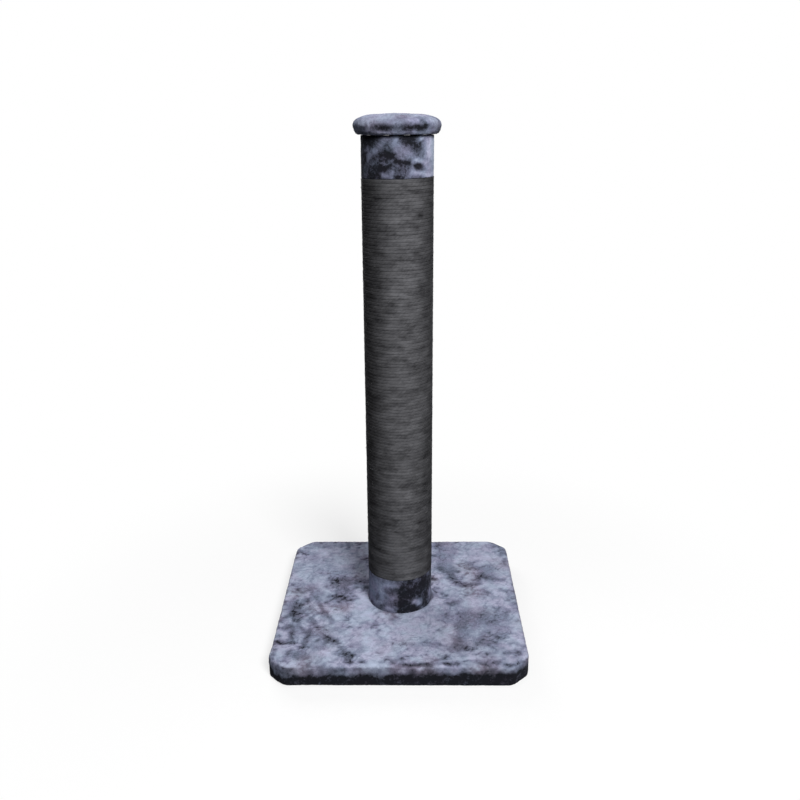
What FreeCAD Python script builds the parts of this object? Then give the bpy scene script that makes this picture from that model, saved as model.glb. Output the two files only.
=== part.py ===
"""Cat scratching post: a plush-covered square base, a rope-wound post and a padded round cap.

Millimetres. The origin is the centre of the base's underside, +Z runs up the post, and -Y is
the side that faces the viewer. Every sub-part is an object of its own in one document.
"""
import FreeCAD, Part
import math
import os

import Sketcher
from FreeCAD import Vector

PARTS_FOLDER = "parts"

# Driving dimensions: name, millimetres (or a count) as text, what it is.
SIZES = [
    ("base_side", "500", "side of the covered base, over the plush"),
    ("corner_leg", "34", "leg of the 45 degree cut at each corner of the base"),
    ("corner_round", "24", "rounding where a side of the base meets the corner cut"),
    ("board_thick", "36", "base board"),
    ("cover_thick", "5.2", "plush with its pile, on the top and sides of the base"),
    ("cover_play", "0.2", "air between the cover and the board's edge"),
    ("cover_top_round", "7", "rounding of the cover's upper edge"),
    ("cover_foot_round", "4", "rounding of the cover's lower edge"),
    ("flap_thick", "2.6", "plush pressed flat where it is turned in under the board"),
    ("flap_width", "42", "width of that turned-in flap"),
    ("pressed_pile", "2", "plush left between the board and the foot of the post"),
    ("foot_play", "0.5", "air round the lower sleeve where it sinks into the pile"),
    ("cloth_thick", "0.8", "non-woven cloth under the base"),
    ("cloth_overlap", "16", "how far the cloth covers the flap"),
    ("cloth_play", "0.5", "air round the cloth in the pressed flap"),
    ("staple_crown", "10", "width of a staple over its legs"),
    ("staple_leg", "8", "height of a staple"),
    ("staple_wire_wide", "1.2", "staple wire, across"),
    ("staple_wire_thick", "0.6", "staple wire, through"),
    ("staple_play", "0.1", "air round a staple in its slot"),
    ("staple_sink", "0.3", "how far a crown lies above the face that it is driven into"),
    ("cover_staples_a_side", "10", "staples that hold the flap, on each side of the base"),
    ("backing_staples_a_side", "8", "staples that hold the cloth, on each side of the base"),
    ("cover_staple_row", "9", "row of flap staples, in from the board's edge"),
    ("backing_staple_row", "6", "row of cloth staples, in from the cloth's edge"),
    ("tube_outer", "120", "cardboard tube, outside"),
    ("tube_wall", "9", "wall of the tube"),
    ("tube_length", "953", "length of the tube"),
    ("sleeve_thick", "5.7", "plush sleeve round the tube"),
    ("sleeve_play", "0.3", "air between a sleeve and the tube"),
    ("sleeve_seam", "1", "butt seam at the back of a sleeve"),
    ("sleeve_round", "1.5", "rounding of a sleeve's outer edges"),
    ("lower_sleeve_high", "74.5", "height of the sleeve at the foot of the post"),
    ("upper_sleeve_high", "71", "height of the sleeve under the cap"),
    ("cap_gap", "0.3", "air between the upper sleeve and the cap"),
    ("rope_thick", "6.1", "sisal rope"),
    ("rope_gap", "0.45", "air between neighbouring turns"),
    ("rope_play", "0.3", "air between the rope and the tube"),
    ("end_turns", "12", "turns shown one by one at each end of the winding"),
    ("plug_play", "0.3", "air between a wooden plug and the tube"),
    ("lower_plug_thick", "36", "plug in the foot of the tube"),
    ("upper_plug_thick", "24", "plug in the head of the tube"),
    ("screw_size", "3.5", "shank of a plug screw"),
    ("screw_length", "25", "length of a plug screw"),
    ("screw_head", "7", "countersunk head of a plug screw"),
    ("screw_head_high", "2.2", "height of that head"),
    ("screw_tip", "4", "length of the screw's point"),
    ("screw_play", "0.1", "air round a screw in its hole"),
    ("lower_screws", "6", "screws through the tube into the lower plug"),
    ("upper_screws", "4", "screws through the tube into the upper plug"),
    ("bolt_size", "10", "bolt that holds the post on the base"),
    ("bolt_length", "60", "its length under the head"),
    ("bolt_head_wide", "17", "its hexagon head, across the flats"),
    ("bolt_head_high", "6.4", "height of that head"),
    ("bolt_tip", "1.5", "chamfer of the bolt's end"),
    ("bolt_hole", "11", "clearance hole for the bolt"),
    ("washer_outer", "34", "wide washer under the bolt's head"),
    ("washer_thick", "2.5", "its thickness"),
    ("washer_play", "0.25", "air between the bolt and the washer"),
    ("counterbore_wide", "38", "recess in the board for the bolt's head and washer"),
    ("counterbore_deep", "12", "depth of that recess"),
    ("thread_play", "0.1", "air between a thread and its nut"),
    ("insert_play", "0.1", "air between an insert nut and the wood"),
    ("lower_insert_outer", "14", "insert nut in the lower plug"),
    ("lower_insert_long", "25", "its length"),
    ("stud_size", "8", "threaded stud that holds the cap"),
    ("stud_length", "35", "its length"),
    ("stud_tip", "1", "chamfer of its ends"),
    ("stud_hole", "9", "clearance hole for the stud"),
    ("stud_end_play", "1", "air over the stud in the cap's insert nut"),
    ("cap_insert_outer", "12", "insert nuts of the stud"),
    ("upper_insert_long", "18", "insert nut in the upper plug"),
    ("cap_insert_long", "13", "insert nut in the cap board"),
    ("insert_chamfer", "0.8", "chamfer of the insert nuts"),
    ("cap_board_wide", "150", "round board of the cap"),
    ("cap_board_thick", "16", "its thickness"),
    ("cap_crown", "11.3", "foam over the cap board, at its middle"),
    ("cap_crown_fall", "1", "how much lower the foam lies where its shoulder starts"),
    ("cap_shoulder", "24", "width of the cap's rounded shoulder"),
    ("cap_cover_thick", "5.5", "plush over the cap"),
    ("cap_cover_play", "0.3", "air between that plush and the cap board"),
    ("cap_flap_thick", "2.2", "plush turned in under the cap board"),
    ("cap_flap_width", "28", "width of that flap"),
    ("cap_waist", "2.3", "how far the plush is drawn in at the cap's lower edge"),
    ("cap_foot_round", "7", "rounding of the cap's lower edge"),
    ("cap_staples_count", "12", "staples that hold the cap's flap"),
    ("cap_staple_row", "6", "row of cap staples, in from the cap board's edge"),
]

# Places that follow from the sizes: name, formula.
PLACES = [
    ("half_side", "=Sizes.base_side / 2"),
    ("board_half", "=half_side - Sizes.cover_thick"),
    ("board_leg", "=Sizes.corner_leg - (2 - sqrt(2)) * Sizes.cover_thick"),
    ("board_round", "=Sizes.corner_round - Sizes.cover_thick"),
    ("cavity_half", "=board_half + Sizes.cover_play"),
    ("cavity_leg", "=board_leg + (2 - sqrt(2)) * Sizes.cover_play"),
    ("cavity_round", "=board_round + Sizes.cover_play"),
    ("opening_half", "=board_half - Sizes.flap_width"),
    ("cloth_half", "=opening_half + Sizes.cloth_overlap"),
    ("recess_half", "=cloth_half + Sizes.cloth_play"),
    ("cloth_low", "=Sizes.staple_wire_thick + Sizes.staple_play"),
    ("cloth_top", "=cloth_low + Sizes.cloth_thick"),
    ("board_low", "=Sizes.flap_thick"),
    ("board_top", "=board_low + Sizes.board_thick"),
    ("base_top", "=board_top + Sizes.cover_thick"),
    ("foot", "=board_top + Sizes.pressed_pile"),
    ("foot_deep", "=base_top - foot"),
    ("tube_half", "=Sizes.tube_outer / 2"),
    ("bore_half", "=tube_half - Sizes.tube_wall"),
    ("plug_half", "=bore_half - Sizes.plug_play"),
    ("sleeve_in", "=tube_half + Sizes.sleeve_play"),
    ("sleeve_out", "=sleeve_in + Sizes.sleeve_thick"),
    ("foot_half", "=sleeve_out + Sizes.foot_play"),
    ("tube_top", "=foot + Sizes.tube_length"),
    ("lower_sleeve_top", "=foot + Sizes.lower_sleeve_high"),
    ("upper_sleeve_top", "=tube_top - Sizes.cap_gap"),
    ("upper_sleeve_low", "=upper_sleeve_top - Sizes.upper_sleeve_high"),
    ("rope_in", "=tube_half + Sizes.rope_play"),
    ("rope_out", "=rope_in + Sizes.rope_thick"),
    ("rope_pitch", "=Sizes.rope_thick + Sizes.rope_gap"),
    ("rope_low", "=lower_sleeve_top + Sizes.rope_gap"),
    ("rope_top", "=upper_sleeve_low - Sizes.rope_gap"),
    ("turns_high", "=Sizes.end_turns * rope_pitch + Sizes.rope_thick + 2 * Sizes.rope_gap"),
    ("field_low", "=rope_low + turns_high"),
    ("field_top", "=rope_top - turns_high"),
    ("lower_plug_top", "=foot + Sizes.lower_plug_thick"),
    ("upper_plug_low", "=tube_top - Sizes.upper_plug_thick"),
    ("lower_screw_level", "=foot + Sizes.lower_plug_thick / 2"),
    ("upper_screw_level", "=tube_top - Sizes.upper_plug_thick / 2"),
    ("counterbore_top", "=board_low + Sizes.counterbore_deep"),
    ("washer_low", "=counterbore_top - Sizes.washer_thick"),
    ("bolt_head_low", "=washer_low - Sizes.bolt_head_high"),
    ("bolt_end", "=washer_low + Sizes.bolt_length"),
    ("lower_insert_top", "=foot + Sizes.lower_insert_long"),
    ("cap_board_low", "=tube_top + Sizes.cap_flap_thick"),
    ("cap_board_top", "=cap_board_low + Sizes.cap_board_thick"),
    ("cap_insert_top", "=cap_board_low + Sizes.cap_insert_long"),
    ("stud_top", "=cap_insert_top - Sizes.stud_end_play"),
    ("stud_low", "=stud_top - Sizes.stud_length"),
    ("upper_insert_low", "=tube_top - Sizes.upper_insert_long"),
    ("cap_board_half", "=Sizes.cap_board_wide / 2"),
    ("cap_top", "=cap_board_top + Sizes.cap_crown + Sizes.cap_cover_thick"),
]


def add_sheet(doc, name, rows):
    """A sheet with names in column A, numbers or formulas under those aliases in B, notes in C."""
    sheet = doc.addObject("Spreadsheet::Sheet", name)
    for number, (alias, content, *note) in enumerate(rows, start=1):
        sheet.set(f"A{number}", alias)
        sheet.set(f"B{number}", content)
        sheet.setAlias(f"B{number}", alias)
        sheet.set(f"C{number}", "".join(note))
    doc.recompute()
    return sheet


# ---- sketches and features ----

HORIZONTAL_AXIS = -1
VERTICAL_AXIS = -2


def new_body(doc, label):
    body = doc.addObject("PartDesign::Body", label)
    body.Label = label
    return body


def new_sketch(body, name, role, height=None):
    """A sketch on one of the body's own origin planes, lifted by an expression."""
    sketch = body.newObject("Sketcher::SketchObject", name)
    plane = next(item for item in body.Origin.OriginFeatures if item.Role == role)
    sketch.AttachmentSupport = [(plane, "")]
    sketch.MapMode = "FlatFace"
    if height is not None:
        sketch.setExpression("AttachmentOffset.Base.z", height)
    return sketch


def pin_point(sketch, line, end, place):
    """Hold one end of a line at a place given by two expressions."""
    axes = (("DistanceX", VERTICAL_AXIS, place[0]), ("DistanceY", HORIZONTAL_AXIS, place[1]))
    for kind, axis, text in axes:
        if text == "0":
            sketch.addConstraint(Sketcher.Constraint("PointOnObject", line, end, axis))
        else:
            index = sketch.addConstraint(Sketcher.Constraint(kind, -1, 1, line, end, 1.0))
            sketch.setExpression(f"Constraints[{index}]", text)


def polygon(sketch, places):
    """A closed polygon whose corners are pairs of expressions."""
    count = len(places)
    corners = [Vector(math.cos(math.tau * k / count), math.sin(math.tau * k / count), 0)
               for k in range(count)]
    first = sketch.GeometryCount
    for k in range(count):
        sketch.addGeometry(Part.LineSegment(corners[k], corners[(k + 1) % count]), False)
    for k in range(count):
        sketch.addConstraint(Sketcher.Constraint(
            "Coincident", first + k, 2, first + (k + 1) % count, 1))
    for k, place in enumerate(places):
        pin_point(sketch, first + k, 1, place)


def circle(sketch, diameter):
    """A circle about the origin."""
    index = sketch.addGeometry(Part.Circle(Vector(0, 0, 0), Vector(0, 0, 1), 1.0), False)
    sketch.addConstraint(Sketcher.Constraint("Coincident", index, 3, -1, 1))
    size = sketch.addConstraint(Sketcher.Constraint("Diameter", index, 2.0))
    sketch.setExpression(f"Constraints[{size}]", diameter)


def clipped_square(half, leg):
    """The corners of a square with 45 degree cut corners, as expressions."""
    side, cut = f"({half})", f"({half} - {leg})"
    return [(side, f"-{cut}"), (side, cut), (cut, side), (f"-{cut}", side),
            (f"-{side}", cut), (f"-{side}", f"-{cut}"), (f"-{cut}", f"-{side}"), (cut, f"-{side}")]


def square(half):
    return [(half, f"-{half}"), (half, half), (f"-{half}", half), (f"-{half}", f"-{half}")]


def pad(body, sketch, length, name="Pad"):
    feature = body.newObject("PartDesign::Pad", name)
    feature.Profile = sketch
    feature.setExpression("Length", length)
    return feature


def pocket(body, sketch, length, upward, name="Pocket"):
    feature = body.newObject("PartDesign::Pocket", name)
    feature.Profile = sketch
    feature.Reversed = upward
    feature.setExpression("Length", length)
    return feature


def turned(doc, label, places):
    """A body turned about Z from a polygon of (radius, height) expressions."""
    body = new_body(doc, label)
    sketch = new_sketch(body, f"{label}_profile", "XZ_Plane")
    polygon(sketch, places)
    feature = body.newObject("PartDesign::Revolution", "Revolution")
    feature.Profile = sketch
    feature.ReferenceAxis = (sketch, ["V_Axis"])
    feature.Angle = 360
    return body


def ring_places(inner, outer, low, top):
    return [(inner, low), (outer, low), (outer, top), (inner, top)]


def edge_names(shape, wanted):
    """The names of the edges whose two ends and middle all pass a test."""
    names = []
    for number, edge in enumerate(shape.Edges, start=1):
        middle = edge.valueAt((edge.FirstParameter + edge.LastParameter) / 2)
        points = [vertex.Point for vertex in edge.Vertexes] + [middle]
        if all(wanted(point) for point in points):
            names.append(f"Edge{number}")
    return names


def dress(body, kind, names, prop, amount):
    """A fillet or chamfer on named edges of the body's last feature."""
    base = body.Tip
    feature = body.newObject(f"PartDesign::{kind}", kind)
    feature.Base = (base, names)
    feature.setExpression(prop, amount)
    return feature


def near(a, b):
    return abs(a - b) < 0.01


def upright_corners(doc, body, half, leg):
    """The upright edges where a side of the outline meets a corner cut."""
    doc.recompute()

    def at_corner(point):
        x, y = abs(point.x), abs(point.y)
        return (near(x, half) and near(y, half - leg)) or (near(y, half) and near(x, half - leg))

    return edge_names(body.Tip.Shape, at_corner)


# ---- the base ----

def make_base_board(doc, place):
    """One thick board, clipped at the corners, bored for the bolt and recessed for its head."""
    body = new_body(doc, "base_board_blank")
    outline = new_sketch(body, "board_outline", "XY_Plane", "Places.board_low")
    polygon(outline, clipped_square("Places.board_half", "Places.board_leg"))
    pad(body, outline, "Sizes.board_thick")
    corners = upright_corners(doc, body, place.board_half, place.board_leg)
    dress(body, "Fillet", corners, "Radius", "Places.board_round")
    hole = new_sketch(body, "board_bolt_hole", "XY_Plane", "Places.board_low")
    circle(hole, "Sizes.bolt_hole")
    pocket(body, hole, "Sizes.board_thick", upward=True, name="BoltHole")
    recess = new_sketch(body, "board_counterbore", "XY_Plane", "Places.board_low")
    circle(recess, "Sizes.counterbore_wide")
    pocket(body, recess, "Sizes.counterbore_deep", upward=True, name="Counterbore")
    return body


def make_base_cover(doc, size, place):
    """The plush: round the board's top and sides, and turned in under its edge."""
    body = new_body(doc, "base_cover_blank")
    outline = new_sketch(body, "cover_outline", "XY_Plane")
    polygon(outline, clipped_square("Places.half_side", "Sizes.corner_leg"))
    pad(body, outline, "Places.base_top")
    corners = upright_corners(doc, body, place.half_side, size.corner_leg)
    dress(body, "Fillet", corners, "Radius", "Sizes.corner_round")
    doc.recompute()
    rim = edge_names(body.Tip.Shape, lambda point: near(point.z, place.base_top))
    dress(body, "Fillet", rim, "Radius", "Sizes.cover_top_round")
    doc.recompute()
    rim = edge_names(body.Tip.Shape, lambda point: near(point.z, 0))
    dress(body, "Fillet", rim, "Radius", "Sizes.cover_foot_round")

    cavity = new_sketch(body, "cover_cavity", "XY_Plane", "Places.board_low")
    polygon(cavity, clipped_square("Places.cavity_half", "Places.cavity_leg"))
    pocket(body, cavity, "Sizes.board_thick", upward=True, name="Cavity")
    corners = upright_corners(doc, body, place.cavity_half, place.cavity_leg)
    dress(body, "Fillet", corners, "Radius", "Places.cavity_round")
    opening = new_sketch(body, "cover_opening", "XY_Plane")
    polygon(opening, square("Places.opening_half"))
    pocket(body, opening, "Sizes.flap_thick", upward=True, name="Opening")
    recess = new_sketch(body, "cover_cloth_recess", "XY_Plane")
    polygon(recess, square("Places.recess_half"))
    pocket(body, recess, "Places.cloth_top", upward=True, name="ClothRecess")
    foot = new_sketch(body, "cover_foot_recess", "XY_Plane", "Places.base_top")
    circle(foot, "2 * Places.foot_half")
    pocket(body, foot, "Places.foot_deep", upward=False, name="FootRecess")
    hole = new_sketch(body, "cover_bolt_hole", "XY_Plane", "Places.base_top")
    circle(hole, "Sizes.bolt_hole")
    pocket(body, hole, "Sizes.cover_thick", upward=False, name="BoltHole")
    return body


def make_backing_cloth(doc):
    body = new_body(doc, "base_backing_cloth_blank")
    outline = new_sketch(body, "cloth_outline", "XY_Plane", "Places.cloth_low")
    polygon(outline, square("Places.cloth_half"))
    pad(body, outline, "Sizes.cloth_thick")
    return body


def line(start, end):
    return Part.LineSegment(start, end).toShape()


# ---- staples ----

def staple_solid(size):
    """A staple with its crown along X on z = 0 and its legs up."""
    wide, thick = size.staple_wire_wide, size.staple_wire_thick
    crown = Part.makeBox(size.staple_crown, wide, thick,
                         Vector(-size.staple_crown / 2, -wide / 2, 0))
    legs = [Part.makeBox(thick, wide, size.staple_leg,
                         Vector(end * (size.staple_crown - thick) / 2 - thick / 2, -wide / 2, 0))
            for end in (-1, 1)]
    return crown.fuse(legs).removeSplitter()


def staple_slot(size, crown_sink):
    """The slot of a staple. Its crown's part is left out where crown_sink is None."""
    wide, thick, play = size.staple_wire_wide, size.staple_wire_thick, size.staple_play
    legs = [Part.makeBox(thick + 2 * play, wide + 2 * play, size.staple_leg + play,
                         Vector(end * (size.staple_crown - thick) / 2 - thick / 2 - play,
                                -wide / 2 - play, 0))
            for end in (-1, 1)]
    if crown_sink is None:
        return Part.makeCompound(legs)
    crown_long = size.staple_crown + 2 * play
    crown = Part.makeBox(crown_long, wide + 2 * play, thick + 2 * play + crown_sink,
                         Vector(-crown_long / 2, -wide / 2 - play, -play - crown_sink))
    return crown.fuse(legs).removeSplitter()


def placed(shape, position, degrees):
    """A copy of a shape, turned about Z and then moved."""
    copy = shape.copy()
    turn = FreeCAD.Rotation(Vector(0, 0, 1), degrees)
    copy.Placement = FreeCAD.Placement(position, turn)
    return copy


def square_row(shape, per_side, distance, span, height):
    """Copies along four sides, each at a distance from the centre and spread over a span."""
    copies = []
    for side in range(4):
        turn = FreeCAD.Rotation(Vector(0, 0, 1), 90 * side)
        for k in range(per_side):
            along = span * ((2 * k + 1) / per_side - 1)
            copies.append(placed(shape, turn.multVec(Vector(along, -distance, height)), 90 * side))
    return copies


def circle_row(shape, count, distance, height):
    """Copies round a circle, each along its tangent."""
    copies = []
    for k in range(count):
        degrees = 360 * (k + 0.5) / count
        turn = FreeCAD.Rotation(Vector(0, 0, 1), degrees)
        copies.append(placed(shape, turn.multVec(Vector(0, -distance, height)), degrees))
    return copies


def set_of_solids(doc, label, shapes):
    feature = doc.addObject("Part::Feature", label)
    feature.Label = label
    feature.Shape = Part.makeCompound([solid for shape in shapes for solid in shape.Solids])
    return feature


def cut(doc, label, base, tool):
    feature = doc.addObject("Part::Cut", label)
    feature.Label = label
    feature.Base = base
    feature.Tool = tool
    return feature


def make_base_staples(doc, size, place):
    """Two square rows of staples under the base, with the slots that they make."""
    cover_row = (int(size.cover_staples_a_side), place.board_half - size.cover_staple_row,
                 place.board_half - place.board_leg, size.staple_sink)
    cloth_row = (int(size.backing_staples_a_side), place.cloth_half - size.backing_staple_row,
                 place.cloth_half - size.staple_crown, place.cloth_low - size.staple_wire_thick)
    staple = staple_solid(size)
    cover_staples = set_of_solids(doc, "cover_staples", square_row(staple, *cover_row))
    backing_staples = set_of_solids(doc, "backing_staples", square_row(staple, *cloth_row))
    cover_slots = square_row(staple_slot(size, size.staple_sink), *cover_row)
    cloth_slots = square_row(staple_slot(size, None), *cloth_row)
    slots = set_of_solids(doc, "base_staple_slots", cover_slots + cloth_slots)
    cloth_slots = set_of_solids(doc, "cloth_staple_slots", cloth_slots)
    return [cover_staples, backing_staples], slots, cloth_slots


# ---- the post ----

def screw_outline(size, grow, tail):
    """Half of a countersunk screw on the XZ plane, its head's face on z = 0 and its tip down.

    grow is the air of its hole, and tail how far the hole runs on over the head.
    """
    head = size.screw_head / 2 + grow
    shank = size.screw_size / 2 + grow
    points = [Vector(head, 0, 0), Vector(shank, 0, -size.screw_head_high),
              Vector(shank, 0, size.screw_tip - size.screw_length),
              Vector(0, 0, -size.screw_length - grow)]
    over_head = [Vector(0, 0, tail), Vector(head, 0, tail)] if tail else [Vector(0, 0, 0)]
    return Part.Face(Part.makePolygon(points + over_head + points[:1]))


def radial_screws(size, count, level, grow=0.0, tail=0.0):
    """Screws that point at the post's axis, with their heads flush with the tube."""
    screw = screw_outline(size, grow, tail).revolve(Vector(0, 0, 0), Vector(0, 0, 1), 360)
    lying = FreeCAD.Rotation(Vector(0, 0, 1), Vector(0, -1, 0))
    screws = []
    for k in range(count):
        turn = FreeCAD.Rotation(Vector(0, 0, 1), 360 * k / count)
        spot = turn.multVec(Vector(0, -size.tube_outer / 2, level))
        copy = screw.copy()
        copy.Placement = FreeCAD.Placement(spot, turn.multiply(lying))
        screws.append(copy)
    return screws


def make_plug_screws(doc, size, place):
    """The screws of both plugs, and their holes in the tube and the plugs."""
    rows = (("lower", int(size.lower_screws), place.lower_screw_level),
            ("upper", int(size.upper_screws), place.upper_screw_level))
    nodes, holes = [], {}
    for name, count, level in rows:
        nodes.append(set_of_solids(doc, f"{name}_plug_screws", radial_screws(size, count, level)))
        holes[name] = set_of_solids(doc, f"{name}_screw_holes", radial_screws(
            size, count, level, grow=size.screw_play, tail=size.screw_head_high))
    both = holes["lower"].Shape.Solids + holes["upper"].Shape.Solids
    holes["tube"] = set_of_solids(doc, "tube_screw_holes", both)
    return nodes, holes


def make_plugs(doc):
    """The wooden discs in the tube's ends, each bored through, with a seat for its insert nut."""
    outer = "Places.plug_half"
    low, top, seat_top = "Places.foot", "Places.lower_plug_top", "Places.lower_insert_top"
    hole, seat = "Sizes.bolt_hole / 2", "Sizes.lower_insert_outer / 2 + Sizes.insert_play"
    lower = turned(doc, "lower_plug_blank", [
        (outer, low), (outer, top), (hole, top), (hole, seat_top), (seat, seat_top), (seat, low)])
    low, top, seat_low = "Places.upper_plug_low", "Places.tube_top", "Places.upper_insert_low"
    hole, seat = "Sizes.stud_hole / 2", "Sizes.cap_insert_outer / 2 + Sizes.insert_play"
    upper = turned(doc, "upper_plug_blank", [
        (outer, low), (outer, top), (seat, top), (seat, seat_low), (hole, seat_low), (hole, low)])
    return lower, upper


def make_sleeve(doc, label, low, top, place):
    """A plush band butted at the back of the post, its outer edges rounded."""
    body = turned(doc, label, ring_places("Places.sleeve_in", "Places.sleeve_out", low, top))
    doc.recompute()
    rims = edge_names(body.Tip.Shape, lambda point: near(math.hypot(point.x, point.y),
                                                         place.sleeve_out))
    circles = [name for name in rims
               if len(body.Tip.Shape.getElement(name).Vertexes) == 1]
    dress(body, "Fillet", circles, "Radius", "Sizes.sleeve_round")
    seam = new_sketch(body, f"{label}_seam", "XY_Plane", low)
    half, reach = "Sizes.sleeve_seam / 2", "Places.sleeve_out + Sizes.sleeve_thick"
    polygon(seam, [(half, "0"), (half, reach), (f"-{half}", reach), (f"-{half}", "0")])
    pocket(body, seam, f"{top} - {low}", upward=True, name="Seam")
    return body


# ---- the rope ----

QUARTERS = 4
ARCS_PER_TURN = 2 * QUARTERS
SAMPLES_PER_ARC = 12


def helix_point(radius, pitch, low, angle):
    return Vector(radius * math.cos(angle), radius * math.sin(angle),
                  low + pitch * angle / math.tau)


def helix_heading(radius, pitch, angle):
    heading = Vector(-radius * math.sin(angle), radius * math.cos(angle), pitch / math.tau)
    return heading.normalize()


def tangent_arc(start, corner, end):
    """The arc from start to end whose end tangents meet at corner."""
    chord_middle = (start + end) * 0.5
    to_corner = corner - chord_middle
    half_chord = (end - start).Length / 2
    half_turn = math.atan2(to_corner.Length, half_chord)
    crown = to_corner.normalize() * (half_chord * math.tan(half_turn / 2))
    return Part.Arc(start, chord_middle + crown, end).toShape()


def biarc(start, heading_in, end, heading_out):
    """Two arcs that leave start and reach end along the given headings."""
    across = end - start
    both = heading_in + heading_out
    spread = 2 * (1 - heading_in.dot(heading_out))
    root = math.sqrt(across.dot(both) ** 2 + spread * across.dot(across))
    reach = (root - across.dot(both)) / spread
    first_corner = start + heading_in * reach
    last_corner = end - heading_out * reach
    joint = (first_corner + last_corner) * 0.5
    return [tangent_arc(start, first_corner, joint), tangent_arc(joint, last_corner, end)]


def wound_rope(radius, pitch, turns, low, straight):
    """The rope's centre line: quarter-turn biarcs with a straight run at each end."""
    angles = [math.tau * k / QUARTERS for k in range(QUARTERS * turns + 1)]
    spots = [helix_point(radius, pitch, low, angle) for angle in angles]
    headings = [helix_heading(radius, pitch, angle) for angle in angles]
    edges = [line(spots[0] - headings[0] * straight, spots[0])]
    for k in range(QUARTERS * turns):
        edges += biarc(spots[k], headings[k], spots[k + 1], headings[k + 1])
    edges.append(line(spots[-1], spots[-1] + headings[-1] * straight))
    return Part.Wire(edges)


def least_gap(path, thick):
    """The least distance between neighbouring turns, less the rope's own thickness."""
    points = [point for edge in path.Edges for point in edge.discretize(SAMPLES_PER_ARC)[:-1]]
    turn = ARCS_PER_TURN * (SAMPLES_PER_ARC - 1)
    least = math.inf
    for k, point in enumerate(points):
        for other in points[k + turn * 3 // 4:k + turn * 5 // 4]:
            least = min(least, (other - point).Length)
    return least - thick


def make_rope_turns(doc, label, size, place, low):
    """Single turns of the rope at one end of the winding, as one unbroken tube."""
    thick = size.rope_thick
    path = wound_rope(place.rope_in + thick / 2, place.rope_pitch, int(size.end_turns),
                      low + thick / 2, thick)
    first_run = path.Edges[0]
    start, end = (vertex.Point for vertex in first_run.Vertexes)
    section = Part.Wire([Part.Circle(start, end - start, thick / 2).toShape()])
    tube = path.makePipeShell([section], True, False)
    expected = math.pi * thick ** 2 / 4 * path.Length
    print(f"{label}: {path.Length:.0f} mm of rope, least gap to itself "
          f"{least_gap(path, thick):.2f} mm, "
          f"volume over section times length {tube.Volume / expected:.4f}")
    feature = doc.addObject("Part::Feature", label)
    feature.Label = label
    feature.Shape = tube
    return feature


# ---- the bolt, the stud and their nuts ----

def make_bolt(doc):
    """A hexagon bolt, its head down, with a chamfered end."""
    body = new_body(doc, "base_bolt")
    head = new_sketch(body, "bolt_head", "XY_Plane", "Places.bolt_head_low")
    corner = "Sizes.bolt_head_wide / sqrt(3)"
    flat = "Sizes.bolt_head_wide / 2"
    polygon(head, [(corner, "0"), (f"{corner} / 2", flat), (f"-{corner} / 2", flat),
                   (f"-{corner}", "0"), (f"-{corner} / 2", f"-{flat}"),
                   (f"{corner} / 2", f"-{flat}")])
    pad(body, head, "Sizes.bolt_head_high", name="Head")
    shank = new_sketch(body, "bolt_shank", "XY_Plane", "Places.washer_low")
    circle(shank, "Sizes.bolt_size")
    pad(body, shank, "Sizes.bolt_length", name="Shank")
    doc.recompute()
    tip = body.Tip.Shape.BoundBox.ZMax
    end = edge_names(body.Tip.Shape, lambda point: near(point.z, tip))
    dress(body, "Chamfer", end, "Size", "Sizes.bolt_tip")
    return body


def make_stud(doc):
    half, tip = "Sizes.stud_size / 2", "Sizes.stud_tip"
    low, top = "Places.stud_low", "Places.stud_top"
    return turned(doc, "cap_stud", [
        ("0", low), (f"{half} - {tip}", low), (half, f"{low} + {tip}"),
        (half, f"{top} - {tip}"), (f"{half} - {tip}", top), ("0", top)])


def make_insert(doc, label, thread, outer, low, top):
    """A threaded insert: a plain ring, its outer edges chamfered."""
    inner, outer = f"{thread} / 2 + Sizes.thread_play", f"{outer} / 2"
    bevel = "Sizes.insert_chamfer"
    return turned(doc, label, [
        (inner, low), (f"{outer} - {bevel}", low), (outer, f"{low} + {bevel}"),
        (outer, f"{top} - {bevel}"), (f"{outer} - {bevel}", top), (inner, top)])


# ---- the cap ----

def shoulder(middle, floor, wide, high):
    """A quarter of an oval from (middle + wide, floor) up to (middle, floor + high), as two arcs."""
    spots = [Vector(middle + wide * math.cos(turn), 0, floor + high * math.sin(turn))
             for turn in (math.pi / 8 * k for k in range(5))]
    return [Part.Arc(*spots[:3]).toShape(), Part.Arc(*spots[2:]).toShape()]


def crown_arc(edge, rise):
    """The shallow dome from the shoulder's end to the axis, rise higher at the middle."""
    half_turn = math.atan2(rise, edge.x)
    radius = edge.x / math.sin(2 * half_turn)
    centre = edge.z + rise - radius
    between = Vector(radius * math.sin(half_turn), 0, centre + radius * math.cos(half_turn))
    return Part.Arc(edge, between, Vector(0, 0, edge.z + rise)).toShape()


def upright_arc(low_end, high_end):
    """The arc between two points that runs straight up where it reaches the high one."""
    out, up = high_end.x - low_end.x, high_end.z - low_end.z
    radius = (out ** 2 + up ** 2) / (2 * out)
    half_turn = math.asin(up / radius) / 2
    between = Vector(high_end.x - radius * (1 - math.cos(half_turn)), 0,
                     high_end.z - radius * math.sin(half_turn))
    return Part.Arc(low_end, between, high_end).toShape()


def turned_face(edges):
    face = Part.Face(Part.Wire(Part.__sortEdges__(edges)))
    return face.revolve(Vector(0, 0, 0), Vector(0, 0, 1), 360)


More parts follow.
